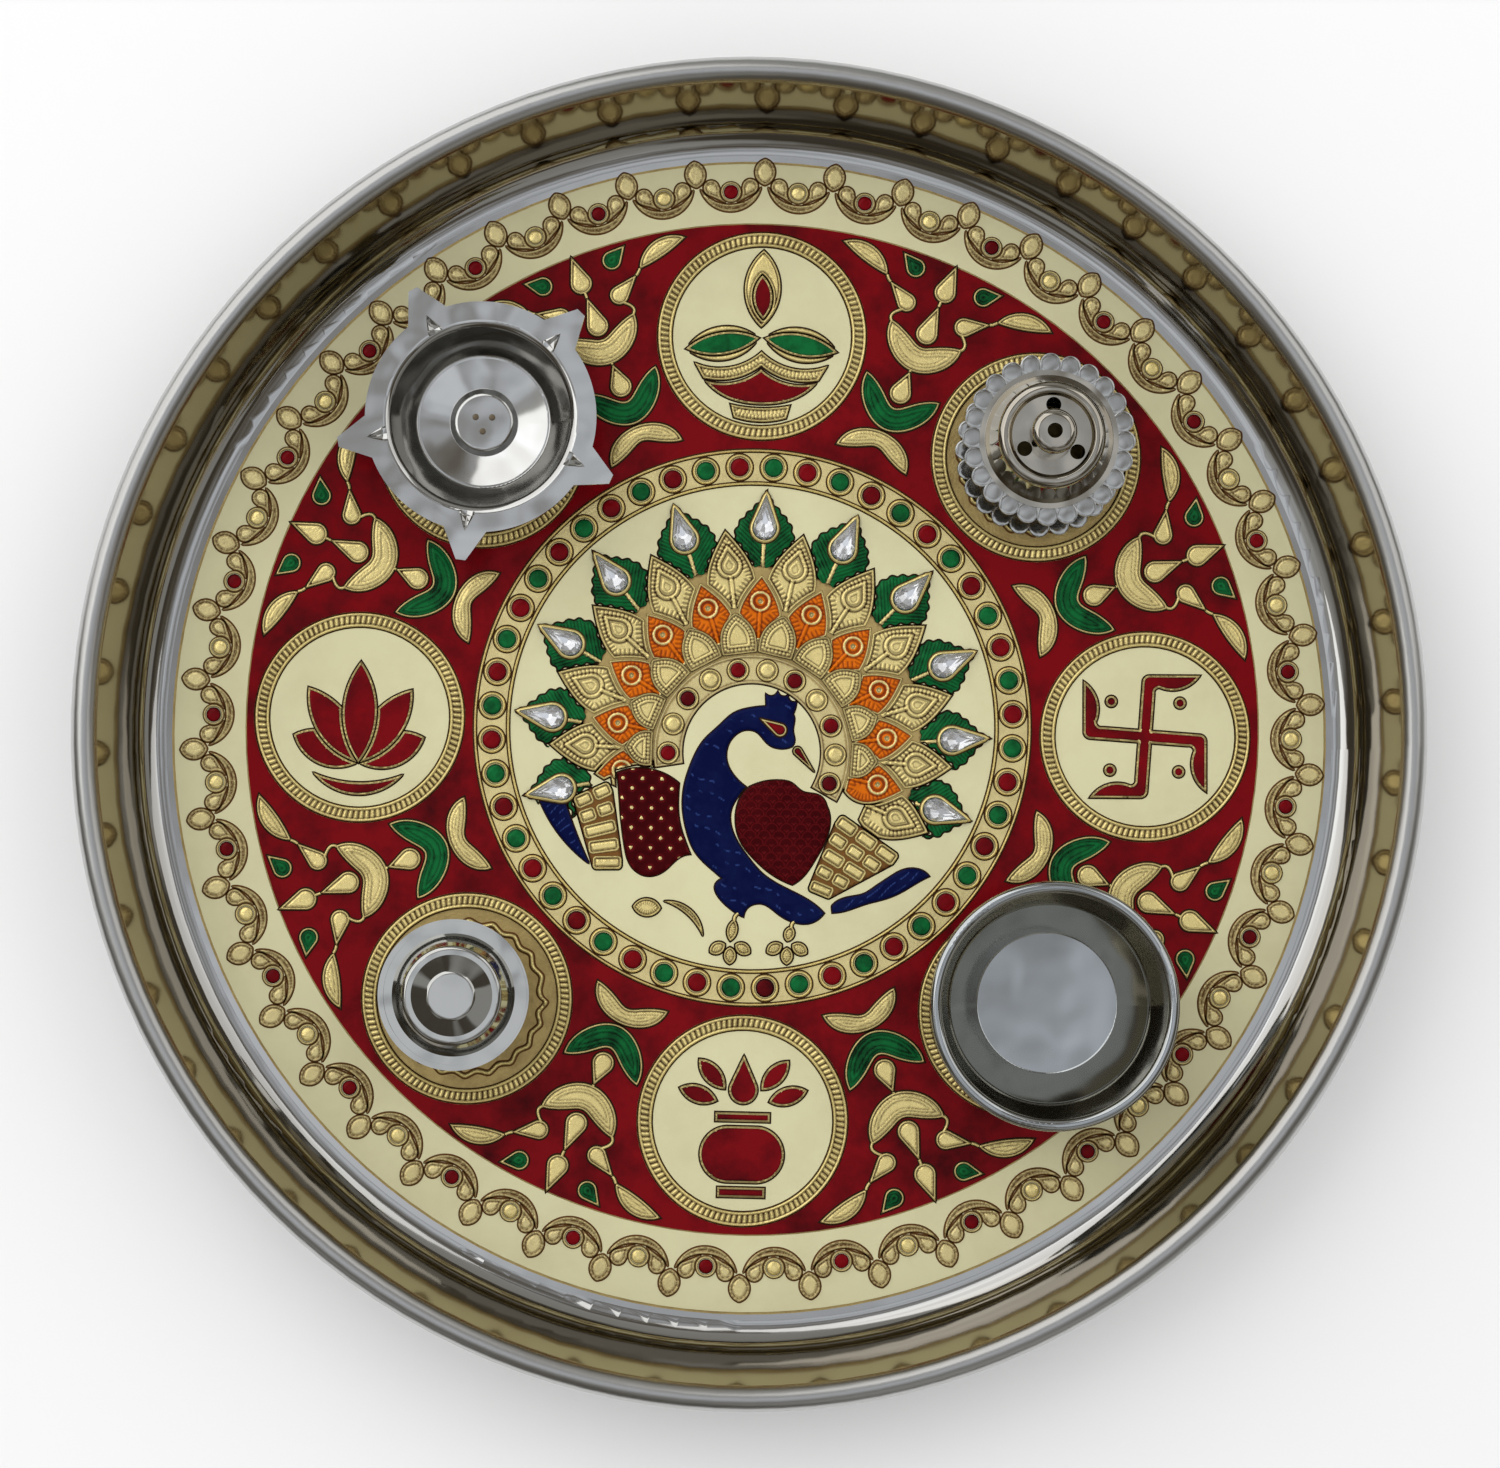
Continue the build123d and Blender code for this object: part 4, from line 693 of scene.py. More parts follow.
# %% [markdown]
# ## Grounds
# The wide flat grounds stay as the CAD plates and only take a finish: cream lacquer in the border,
# the middle and the medallions, crimson in the field, and bare foil in the band and under the vessels.

# %% Finishes on the grounds
grounds = {
    "cream_border": cream,
    "cream_centre": cream,
    "cream_faces": cream,
    "red_field": crimson,
    "bead_band": pale_foil,
    "embossed_sheet": old_foil,
}
for name, finish in grounds.items():
    nodes[name].data.materials.clear()
    nodes[name].data.materials.append(finish)
print("grounds", len(grounds))

# %% [markdown]
# ## Figures in the medallions
# The lamp figure, the four-armed mark, the lotus and the pot have lacquer inside a thin foil rim.
# Only the thickness of the rim and the lacquer differ, so the same style presses them all.

# %% Press the figures
lacquered = pressed(0.3, 0.2, 0.6, enamel=True)
for name in ("four_armed_mark", "lotus_mark", "pot_mark", "lamp_figure_red"):
    press_node(name, lacquered, red_foil, "crimson_enamel")
press_node("lamp_figure_leaves", lacquered, green_foil, "emerald_enamel")
press_node("lamp_figure_flame", plain, foil, step=0.26, insets=line_insets)
press_node("lamp_figure_rims", crowned(0.9, 0.3, 0.5), foil, step=0.22, insets=(0.25,))
combed = pressed(0.5, 0.3, 0.6, comb=0.35, pitch=0.9, zone=(0.7, 2.4))
press_node("lamp_figure_bands", combed, foil, step=0.25)
press_node("wavy_rings", crowned(0.8, 0.3, 0.5), [gold, soft_line])

# %% [markdown]
# ## Feathers
# Every feather points away from the middle of the fan, so a style can work in its own directions:
# u runs along the feather from the fan's middle and v across it. In that frame the drops, eyes and
# stems are simple shapes, and a raised line is pressed where the distance to such a shape is zero.

# %% A feather's own directions
fan_middle = middle - np.array([0.0, 0.1058 * (centre_r + 0.3)])


def feather_style(look):
    """Makes a style for each feather from a look that works along and across it."""

    def by_shape(rings):
        away = rings[0] - fan_middle
        reach = np.linalg.norm(away, axis=1).max()
        along = away[np.linalg.norm(away, axis=1).argmax()] / reach
        across = np.array([-along[1], along[0]])

        def style(d, s, points):
            return look(d, s, (points - fan_middle) @ along - reach, (points - fan_middle) @ across)

        return style

    by_shape.by_shape = True
    return by_shape


print("fan middle", fan_middle.round(2))

# %% Looks of the feathers
no_line = 9.0


def drop_field(u, v, round_r, length):
    """Signed distance to a drop: its round end about 0, its tip at a length along u."""
    v = np.abs(v)
    b = round_r / length
    a = np.sqrt(1 - b * b)
    k = -b * v + a * u
    side = a * v + b * u - round_r
    tip = np.hypot(u - length, v)
    return np.where(k < 0, np.hypot(u, v) - round_r, np.where(k > a * length, tip, side))


def gold_look(d, s, u, v):
    """Two outlines, a comb along the rim, a drop in the middle and a stem down to the foot."""
    eye_from_tip, eye_r, eye_length, stem_from_tip = 8.4, 2.5, 4.5, 10.8
    z, groove, finish = pressed(0.55, 0.42, 0.5, comb=0.3, pitch=1.0, zone=(0.9, 2.1))(d, s, None)
    eye = drop_field(u + eye_from_tip, v, eye_r, eye_length)
    flat = smooth(-0.2, 0.6, -eye)
    z, groove = z * (1 - flat) + 0.62 * flat, groove * (1 - flat)
    z, groove = line_on(z, groove, eye, 0.3, 0.35, 1.0)
    z, groove = line_on(z, groove, eye + 1.4, 0.2, 0.15, 0.6)
    stem = np.where(u < -stem_from_tip, np.abs(v) - 0.1, no_line)
    z, groove = line_on(z, groove, stem, 0.26, 0.35, 0.9)
    return z, groove, finish


def amber_look(d, s, u, v):
    """Amber lacquer with a comb along the rim, a ringed eye and a stem."""
    eye_from_tip, eye_r, pupil_r, stem_from_tip = 6.3, 2.1, 0.8, 8.6
    rimmed = pressed(0.45, 0.35, 0.5, comb=0.3, pitch=1.0, zone=(0.8, 2.3), enamel=True)
    z, groove, finish = rimmed(d, s, None)
    eye = np.hypot(u + eye_from_tip, v)
    flat = 1 - smooth(2.2, 2.8, eye)
    z, groove = z * (1 - flat) + 0.55 * flat, groove * (1 - flat)
    z, groove = line_on(z, groove, eye - eye_r, 0.28, 0.35, 1.0)
    z, groove = line_on(z, groove, eye - pupil_r, 0.22, 0.25, 0.9)
    stem = np.where(u < -stem_from_tip, np.abs(v) - 0.1, no_line)
    z, groove = line_on(z, groove, stem, 0.24, 0.35, 0.9)
    finish = np.where((np.abs(eye - eye_r) < 0.16) | (eye < 0.5), 0, finish)
    return z, groove, finish


def green_look(d, s, u, v):
    """Green lacquer with side ribs and a foil stem up to the stone."""
    rib_pitch, rib_slant, stem_from_tip = 1.05, 0.9, 9.5
    z = 0.25 + 0.55 * smooth(0, 1.2, d)
    rib = 0.5 + 0.5 * np.cos(2 * np.pi * (u - rib_slant * np.abs(v)) / rib_pitch)
    side = smooth(0.1, 0.5, d) * (1 - smooth(2.4, 3.4, d))
    z, groove = z + 0.16 * (rib - 0.5) * side, 0.75 * rib**3 * side + 0.9 * np.exp(-((d / 0.14) ** 2))
    stem = np.where(u < -stem_from_tip, np.abs(v), no_line)
    z, groove = line_on(z, groove, stem, 0.24)
    return z, groove, np.where(stem < 0.3, 0, 2)


# %% [markdown]
# ## Foil between the feathers
# Where feathers and wing rows leave gaps, bare foil shows and not the cream lacquer. So a low plate of
# foil lies under each group: a sector under the fan, and a straight-sided field under each wing row.


# %% Foil under the fan and the wing rows
def fan_reach(angle):
    """From the fan's middle to the bead band, along an angle."""
    fall = middle[1] - fan_middle[1]
    return fall * np.sin(angle) + np.sqrt(centre_r**2 - (fall * np.cos(angle)) ** 2)


foil_t = 0.12
fan_foil_share = 0.7
fan_from, fan_to = -20, 186
sweep = np.radians(np.linspace(fan_from, fan_to, 120))
rays = np.column_stack([np.cos(sweep), np.sin(sweep)])
outer = fan_middle + (fan_foil_share * fan_reach(sweep))[:, None] * rays
inner = fan_middle + 0.5 * (outer - fan_middle)[::-1]
under = Sheet()
press(under, [np.vstack([outer, inner])], crowned(1.0, 0.6, 0.5), relief_z, foil_t, step=0.8, insets=())
tile_points = [ring for rings in outlines("wing_feathers") for ring in rings]
for side in (1, -1):
    group = np.vstack([ring for ring in tile_points if side * (ring[:, 0].mean() - middle[0]) > 0])
    corners = group[geometry.convex_hull_2d([Vector(point) for point in group])]
    corners = corners if area(corners) > 0 else corners[::-1]
    press(under, [corners], crowned(1.0, 0.6, 0.5, finish=2), relief_z, foil_t, step=0.8, insets=())
under.build("foil_between_feathers", [old_foil, dark_line, soft_line])
press_node("arch_band", pressed(0.55, 0.3, 0.5), [pale_foil, dark_line], step=0.4, insets=(0.28, 0.55))

# %% Press the fan
fine = {"step": 0.24, "insets": line_insets}
amber_fine = {"step": 0.24, "insets": (0.22, 0.46)}
wavy = {"step": 0.26, "insets": (0.25,), "wave": 0.5}
press_node("gold_feathers", feather_style(gold_look), foil, **fine)
press_node("amber_feathers", feather_style(amber_look), amber_foil, "amber_enamel", **amber_fine)
press_node("green_feathers", feather_style(green_look), green_foil, "emerald_enamel", **wavy)

# %% [markdown]
# ## The inner row of petals
# The lowest row lies over the feet of the amber feathers: pointed petals side by side on the arch. The CAD
# plates show only the parts that no other plate covers, so each petal takes its aim, its tip and its foot
# from its plate and is drawn whole, pressed a little higher so that it lies over its neighbours.

# %% How a petal is pressed
petal_rise, petal_lift = 1.6, 0.55
petal_fit, petal_points = 0.98, 24
petal_taper, petal_fall = 2.4, 0.9


def petal_look(d, s, points):
    """A combed rim and a nested line, lifted over the feathers behind."""
    z, groove, finish = pressed(0.5, 0.35, 0.5, comb=0.3, pitch=0.9, zone=(0.8, 1.6))(d, s, None)
    z, groove = line_on(z, groove, d - 1.9, 0.22, 0.3, 0.9)
    return petal_lift + (1 - petal_lift) * z, groove + np.exp(-((d / 0.22) ** 2)), finish


# %% Draw the petals whole
plates = [rings[0] - fan_middle for rings in outlines("inner_feathers")]
reaches = [np.linalg.norm(plate, axis=1) for plate in plates]
aims = [plate[reach.argmax()] / reach.max() for plate, reach in zip(plates, reaches)]
turns = np.sort([np.arctan2(aim[1], aim[0]) for aim in aims])
foot_r = min(reach.min() for reach in reaches)
petal_half_w = petal_fit * foot_r * np.tan(np.median(np.diff(turns)) / 2)
low, high = span("inner_feathers")
petal_h = petal_rise * (high[2] - low[2])
inner_row = Sheet()
t = np.linspace(0, 1, petal_points)
for aim, reach in zip(aims, reaches):
    across = np.array([-aim[1], aim[0]])
    away = foot_r + (reach.max() - foot_r) * t
    half_w = petal_half_w * away / foot_r * (1 - t**petal_taper) ** petal_fall
    middle_line = fan_middle + np.outer(away, aim)
    right = middle_line - np.outer(half_w, across)
    left = middle_line + np.outer(half_w, across)
    petal = np.vstack([right, left[-2::-1]])
    press(inner_row, [petal], petal_look, low[2], petal_h, **fine)
print("petals", len(aims), "half width", petal_half_w.round(2))
inner_row.build("inner_feathers_relief", foil, ("inner_feathers",))

# %% [markdown]
# ## The peacock
# The body and tail are navy lacquer with a few light brush strokes. One wing has rows of scales and
# the other rows of dots, so the style looks at which side of the middle a wing lies on.

# %% Styles for the body and the wings
scale_pitch, dot_pitch = 3.4, 4.6


def strokes(pitch, slope, keep):
    """Navy lacquer, crowned at its edge, with light strokes across it."""

    def style(d, s, points):
        x, y = (points - middle).T
        row = np.cos(2 * np.pi * (x * np.cos(slope) + y * np.sin(slope)) / pitch + 0.8 * np.sin(0.9 * x))
        patch = np.sin(1.3 * x + 0.7 * y) * np.sin(0.9 * y - 1.1 * x)
        line = smooth(0.9, 0.99, row) * smooth(keep, keep + 0.2, patch) * smooth(0.4, 0.9, d)
        z = 0.3 + 0.6 * np.sqrt(1 - (1 - np.clip(d / 1.6, 0, 1)) ** 2)
        return z - 0.06 * line, line, np.full(len(d), 2)

    return style


def wing_style(rings):
    """Scales on the right wing, dots on the left one."""
    right = rings[0][:, 0].mean() > middle[0]

    def style(d, s, points):
        x, y = (points - middle).T
        z = 0.3 + 0.5 * np.sqrt(1 - (1 - np.clip(d / 1.4, 0, 1)) ** 2)
        pitch = scale_pitch if right else dot_pitch
        row = np.floor(y / (0.5 * pitch))
        x_in = (x + 0.5 * pitch * (row % 2)) % pitch - 0.5 * pitch
        y_in = y - 0.5 * pitch * row
        if right:
            far = np.hypot(x_in, y_in) - 0.52 * pitch
            z, groove = line_on(z, 0 * d, far, 0.16, 0.14, 0.8)
            return z, groove, np.full(len(d), 2)
        dot = np.hypot(x_in, y_in - 0.25 * pitch)
        z = z + 0.2 * np.exp(-((dot / 0.35) ** 2))
        groove = 0.6 * np.exp(-(((dot - 0.7) / 0.25) ** 2))
        return z, groove, np.where(dot < 0.3, 0, 2)

    return style


wing_style.by_shape = True

# %% Press the peacock
navy_insets = (0.2, 0.6)
press_node("peacock_body", strokes(2.6, 1.2, 0.35), navy_foil, "navy_enamel", insets=navy_insets)
press_node("peacock_tail", strokes(1.7, 2.3, -0.4), navy_foil, "navy_enamel", step=0.25, insets=navy_insets)
press_node("peacock_wings", wing_style, wine_foil, "crimson_enamel", step=0.22, insets=(0.25,))
press_node("wing_feathers", pressed(0.5, 0.4, 0.65), foil, **fine)
small = {"step": 0.2, "insets": (0.2, 0.4)}
toes = pressed(0.4, 0.25, 0.6, comb=0.3, pitch=0.7, zone=(0.6, 1.4))
press_node("peacock_legs", toes, foil, **small)
press_node("peacock_eye", pressed(0.4, 0.2, 0.9, enamel=True), red_foil, "crimson_enamel", **small)
press_node("peacock_beak", lacquered, red_foil, "crimson_enamel", step=0.2, insets=(0.15, 0.3))

# %% [markdown]
# ## Stems
# Thin pressed lines join the pieces of a spray, from the tip of one to the nearest edge of another, and
# a leg joins each of the peacock's feet to its body. A tip is where an outline turns sharply. Each stem
# is a half-round line swept along a short curve that leaves the tip in the direction it points in.

# %% How a stem is pressed
stem_half_w, stem_h = 0.34, 0.45
sharp_turn = 50.0
stem_across = np.array([-1.7, -1.0, -0.7, 0.0, 0.7, 1.0, 1.7]) * stem_half_w
stem_up = np.array([0.04, 0.04, 0.7, 1.0, 0.7, 0.04, 0.04]) * stem_h
stem_grooves = np.array([1.0, 0.9, 0.1, 0.0, 0.1, 0.9, 1.0])
stem_finish = [1, 0, 0, 0, 0, 1]


def tips(ring):
    """Sharp ends of an outline, each with the direction that it points in."""
    edge = np.roll(ring, -1, 0) - ring
    heading = np.arctan2(edge[:, 1], edge[:, 0])
    turned = np.degrees((heading - np.roll(heading, 1) + np.pi) % (2 * np.pi) - np.pi)
    out = -normals(ring)
    out = out / np.linalg.norm(out, axis=1)[:, None]
    return [(ring[index], out[index]) for index in np.flatnonzero(turned > sharp_turn)]


def stem(sheet, start, way, end, bottom):
    """Sweeps the stem's section from a tip to the edge of another piece."""
    bend = start + way * 0.5 * np.linalg.norm(end - start)
    t = np.linspace(-0.15, 1.1, 10)[:, None]
    line = (1 - t) ** 2 * start + 2 * t * (1 - t) * bend + t**2 * end
    ahead = np.gradient(line, axis=0)
    left = np.column_stack([-ahead[:, 1], ahead[:, 0]]) / np.linalg.norm(ahead, axis=1)[:, None]
    rows, columns = len(line), len(stem_across)
    points = []
    for here, side in zip(line, left):
        points.append(np.column_stack([here + np.outer(stem_across, side), bottom + stem_up]))
    corner = np.array([0, columns, columns + 1, 1])
    faces = [corner + columns * row + column for row in range(rows - 1) for column in range(columns - 1)]
    finish = np.tile(stem_finish, rows - 1)
    sheet.add(np.vstack(points), faces, finish, np.tile(stem_grooves, rows))


# %% Stems of the sprays
stem_reach, twin_reach, edge_step = 3.4, 1.0, 0.3
stems = Sheet()
spray_nodes = ("spray_bows", "spray_cups", "spray_drops", "spray_leaves", "green_cups", "green_drops")
spray_rings = [rings[0] for name in spray_nodes for rings in outlines(name)]
dense = [smooth_ring(ring, edge_step) for ring in spray_rings]
owner = np.repeat(np.arange(len(dense)), [len(ring) for ring in dense])
dense = np.vstack(dense)
ends = np.empty((0, 4))
for index, ring in enumerate(spray_rings):
    for start, way in tips(ring):
        far = np.where(owner == index, np.inf, np.linalg.norm(dense - start, axis=1))
        end = dense[far.argmin()]
        twin = np.abs(ends - np.concatenate([end, start])).max(1) < twin_reach
        if far.min() < stem_reach and not twin.any():
            stem(stems, start, way, end, span("spray_drops")[0][2])
            ends = np.vstack([ends, np.concatenate([start, end])])
print("stems", len(ends))

# %% Legs of the peacock
foot_reach = 6.0
body_edge = smooth_ring(outlines("peacock_body")[0][0], edge_step)
lobes = [rings[0] for rings in outlines("peacock_legs")]
for lobe in lobes:
    gaps = np.array([other.mean(0) - lobe.mean(0) for other in lobes if other is not lobe])
    near = gaps[np.linalg.norm(gaps, axis=1) < foot_reach]
    if len(near) and near[:, 1].max() < 0:
        start = lobe[lobe[:, 1].argmax()]
        end = body_edge[np.linalg.norm(body_edge - start, axis=1).argmin()]
        stem(stems, start, np.array([0.0, 1.0]), end, span("peacock_legs")[0][2])
stems.build("spray_stems", foil)

# %% [markdown]
# ## Stones
# Each stone is a clear drop with cut facets over a silvered back, held in a thin foil collar.
# Its outline is read from the CAD piece, so the facets are rows of the same outline, made smaller
# and lifted. Flat shading keeps the edges between the facets sharp.


# %% Outlines of the stones
def stone_rings():
    """The stones' foot outlines, each with its points in order round its middle."""
    work = bmesh.new()
    work.from_mesh(nodes["stones"].data)
    bmesh.ops.remove_doubles(work, verts=work.verts, dist=same_point)
    foot = min(vert.co.z for vert in work.verts) + face_level
    left = dict.fromkeys(vert for vert in work.verts if vert.co.z < foot)
    found = []
    while left:
        island = [left.popitem()[0]]
        for vert in island:
            for edge in vert.link_edges:
                other = edge.other_vert(vert)
                if other in left:
                    del left[other]
                    island.append(other)
        points = np.array([vert.co.xy / MM for vert in island])
        centre = points.mean(0)
        order = np.argsort(np.arctan2(*(points - centre).T[::-1]))
        found.append(points[order])
    work.free()
    return found


stone_outlines = stone_rings()
print("stones", len(stone_outlines))


# %% Cut the stones
def facet_row(ring, share, z):
    """A stone's outline, made smaller about its middle, at a height."""
    shrunk = ring.mean(0) + (ring - ring.mean(0)) * share
    return np.column_stack([shrunk, np.full(len(ring), z)])


clear = material("clear stone", (0.96, 0.97, 0.99), 0.02, Transmission_Weight=0.88, IOR=1.5)
silvered = material("silvered back", (0.95, 0.96, 0.98), 0.06, 0.85)
stone_low, stone_high = span("stones")
facet_count = 14
collar_section = ((0.05, 0.55), (0.3, 0.6), (0.55, 0.35), (0.65, 0.02), (0.9, 0.02))
collar_grooves = [0.3, 0, 0.1, 0.9, 1.0]
cut, backs, collars = Sheet(), Sheet(), Sheet()
for ring in stone_outlines:
    tip = np.linalg.norm(ring - ring.mean(0), axis=1).argmax()
    closed = np.vstack([np.roll(ring, -tip, 0), ring[tip]])
    length = np.concatenate([[0], np.cumsum(np.linalg.norm(np.diff(closed, axis=0), axis=1))])
    even = np.linspace(0, length[-1], facet_count, endpoint=False)
    corners = np.column_stack([np.interp(even, length, closed[:, axis]) for axis in (0, 1)])
    top, foot = stone_high[2], stone_low[2]
    crown = ((0.42, top), (0.72, top - 0.7), (1.0, top - 1.6), (1.0, foot + 0.1))
    back = ((0.25, foot + 0.12), (0.6, foot + 0.35), (0.93, foot + 0.85))
    for sheet, section in ((cut, crown), (backs, back)):
        rows = [facet_row(corners, share, z) for share, z in section]
        sheet.add(np.vstack(rows), [range(facet_count), *strip(len(rows), facet_count).tolist()])
    edge = smooth_ring(ring, 0.4, 30.0)
    count, out = len(edge), -normals(edge)
    rows = [np.column_stack([edge + out * w, np.full(count, foot + h)]) for w, h in collar_section]
    collars.add(np.vstack(rows), strip(len(rows), count).tolist(), 0, np.repeat(collar_grooves, count))
cut.build("stones_cut", [clear], ("stones",), slot="clear_stone", smooth=False)
backs.build("stones_silvered", [silvered], slot="clear_stone", smooth=False)
collars.build("stones_collars", [gold])

# %% [markdown]
# ## Steel
# The vessels and the tray were spun or pressed from stainless sheet and polished on a wheel, which
# leaves fine rings round each axis. A node group turns the distance from an axis into ring marks, and
# adds the faint smudges of handling. The tray's rim was brushed, so there it is rougher. Steep walls that
# face the axis get a darker colour, painted shade and painted reflection of the dark room that they mirror,
# and thin sheet is never quite even, so a soft wave bends what it mirrors. Both are masks in the same group,
# and each piece sets its own amounts.

# %% The ring mark group
rim_heights = (0.0300, 0.0318)
# The two ranges pick the steep walls that face the axis; those walls get painted shade.
steep_range, inward_range = (0.95, 0.3), (0.1, -0.2)


def vector(tree, operation, *sources, result="Vector"):
    """The result of a sum on vectors."""
    return node(tree, "ShaderNodeVectorMath", *sources, operation=operation).outputs[result]


def spin_group():
    """A node group: an axis, colours and amounts in; colour with painted shade, roughness, ring marks and
    wave out.
    """
    inputs = {
        "Axis": ("Vector", (0, 0, 0)),
        "Polished": ("Color", (0.6, 0.6, 0.6, 1)),
        "Painted shade": ("Color", (0.3, 0.3, 0.3, 1)),
        "Roughness": ("Float", 0.12),
        "Smudge": ("Float", 0.05),
        "Brushed": ("Float", 0.0),
    }
    outputs = {"Color": "Color", "Roughness": "Float", "Height": "Float", "Wave": "Float"}
    group, into = effect_group("ring marks", inputs, outputs)
    place = node(group, "ShaderNodeTexCoord").outputs
    offset = vector(group, "SUBTRACT", place["Object"], into["Axis"])
    level = vector(group, "MULTIPLY", offset, (1, 1, 0))
    height = node(group, "ShaderNodeSeparateXYZ", offset).outputs["Z"]
    far = vector(group, "LENGTH", level, result="Value")
    section = node(group, "ShaderNodeCombineXYZ", far, height).outputs["Vector"]
    rings = noise(group, section, in_Scale=2400.0, in_Detail=4.0, in_Roughness=0.7)
    smudge = noise(group, place["Object"], in_Scale=55.0, in_Detail=5.0, in_Roughness=0.6)
    wave = noise(group, place["Object"], in_Scale=75.0, in_Detail=1.0)
    brushed = calc(group, "MULTIPLY", spread(group, height, *rim_heights), into["Brushed"])
    worn = calc(group, "MULTIPLY_ADD", smudge, into["Smudge"], into["Roughness"])
    rough = calc(group, "ADD", worn, brushed)
    # Painted shade: steep walls that face the axis take the darker colour, for the dark room that they
    # mirror.
    steep = spread(group, node(group, "ShaderNodeSeparateXYZ", place["Normal"]).outputs["Z"], *steep_range)
    outward = vector(group, "NORMALIZE", level)
    turned_out = vector(group, "DOT_PRODUCT", outward, place["Normal"], result="Value")
    painted_shade_share = calc(group, "MULTIPLY", steep, spread(group, turned_out, *inward_range))
    colour = blend(group, painted_shade_share, into["Polished"], into["Painted shade"])
    return close_group(group, Color=colour, Roughness=rough, Height=rings, Wave=wave)


ring_marks = spin_group()
print("ring marks", len(ring_marks.nodes), "nodes")

# %% A function for steel
wave_depth, ring_depth = 0.001, 0.0004


def steel(name, node_name, polished, shade_colour, roughness, brushed=0.0, bump=0.003, wave=0.5):
    """Polished steel with ring marks about the axis of a CAD node, and painted shade on its steep inner
    walls.
    """
    made = material(name, polished, roughness, 1.0)
    low, high = span(node_name)
    axis = (*((low + high) / 2 * MM)[:2], 0.0)
    colours = {"Polished": (*polished, 1.0), "Painted shade": (*shade_colour, 1.0)}
    amounts = {"Axis": axis, "Roughness": roughness, "Brushed": brushed}
    effect = place_effect(made, ring_marks, colours | amounts)
    tree = made.node_tree
    waves = {"in_Strength": wave, "in_Distance": wave_depth, "in_Height": effect["Wave"]}
    marks = {"in_Strength": bump, "in_Distance": ring_depth, "in_Height": effect["Height"]}
    uneven, relief = node(tree, "ShaderNodeBump", **waves), node(tree, "ShaderNodeBump", **marks)
    tree.links.new(uneven.outputs["Normal"], relief.inputs["Normal"])
    tree.links.new(relief.outputs["Normal"], tree.nodes["Principled BSDF"].inputs["Normal"])
    return made


# %% Finishes on the steel
# The painted shade colour on the steep inner walls of the collar and the lid.
shade = (0.30, 0.28, 0.245)
steel_table = {
    # node: name, node with its axis, polished colour, painted shade colour, roughness, brushed, ring marks,
    # wave
    "tray": ("tray steel", "tray", (0.52, 0.52, 0.51), (0.34, 0.295, 0.215), 0.06, 0.2, 0.004, 0.08),
    "lamp_bowl": ("lamp steel", "lamp_foot", (0.60, 0.60, 0.585), (0.11, 0.10, 0.078), 0.07),
    "stand_dome": ("stand steel", "stand_dome", (0.46, 0.43, 0.37), (0.34, 0.29, 0.21), 0.05),
    "stand_collar": ("collar steel", "stand_collar", (0.50, 0.50, 0.485), shade, 0.08),
    "kumkum_lid": ("lid steel", "kumkum_lid", (0.54, 0.54, 0.52), shade, 0.05),
    "katori": ("bowl steel", "katori", (0.49, 0.515, 0.525), (0.32, 0.29, 0.215), 0.07, 0.0, 0.0015, 0.25),
}
steels = {name: steel(*values) for name, values in steel_table.items()}
same_steel = {"lamp_foot": "lamp_bowl", "stand_foot": "stand_collar", "kumkum_cup": "kumkum_lid"}
for name, source in same_steel.items():
    steels[name] = steels[source]
for name, finish in steels.items():
    nodes[name].data.materials.clear()
    nodes[name].data.materials.append(finish)
print("steel pieces", len(steels))

# %% [markdown]
# ## Pressed petals and weld spots
# The scallops of the incense stand are pressed into round petals, and three weld spots show where the
# lamp's bowl was joined to its foot. Both are small domes set on the CAD faces.


# %% Petals of the stand
def dome_at(sheet, place, radius, foot_z, height, sides=20):
    """Adds one low dome on a level face."""
    t, angle = np.meshgrid(bead_rows, 2 * np.pi * np.arange(sides) / sides, indexing="ij")
    z = foot_z + height * np.sqrt(np.clip(1 - t**2, 0, 1))
    points = np.stack([place[0] + radius * t * np.cos(angle), place[1] + radius * t * np.sin(angle), z], -1)
    sheet.add(points.reshape(-1, 3), [range(sides), *strip(len(bead_rows), sides).tolist()])


scallop_count = 24
scallop_share = 0.122
petal_share, petal_h = 0.96, 0.1
steel_t = 0.8
collar_top, foot_top = span("stand_collar")[1][2], span("stand_foot")[0][2] + steel_t
petals = Sheet()
for name, foot_z in (("stand_collar", collar_top), ("stand_foot", foot_top)):
    low, high = span(name)
    centre, reach = ((low + high) / 2)[:2], (high - low)[0] / 2
    petal_r = petal_share * scallop_share * reach
    for turn_angle in 2 * np.pi * np.arange(scallop_count) / scallop_count:
        aim = np.array([np.cos(turn_angle), np.sin(turn_angle)])
        dome_at(petals, centre + aim * reach * (1 - scallop_share), petal_r, foot_z, petal_h)
petals.build("stand_petals", [steels["stand_collar"]], body="incense_stand", slot="polished_steel")

# %% Weld spots of the lamp
boss_z = span("lamp_foot")[1][2] + steel_t
lamp_axis = ((span("lamp_foot")[0] + span("lamp_foot")[1]) / 2)[:2]
weld_turns, weld_away = (30, 150, 265), 2.2
weld_r, weld_h = 0.75, 0.12
welds = Sheet()
for turn_angle in np.radians(weld_turns):
    aim = np.array([np.cos(turn_angle), np.sin(turn_angle)])
    dome_at(welds, lamp_axis + weld_away * aim, weld_r, boss_z, weld_h)
weld_steel = material("weld spot", (0.20, 0.16, 0.11), 0.45, 1.0)
welds.build("lamp_welds", [weld_steel], body="lamp", slot="polished_steel")

# %% [markdown]
# ## Wick creases
# Each spout of the lamp has a crease pressed into it, in which the wick lies. It is a V that is wide at
# the mouth and runs out towards the tip, and the sheet beside it bulges a little. The CAD model has a
# flat groove there, so the crease is a folded strip laid into that groove, one row of points at a time.

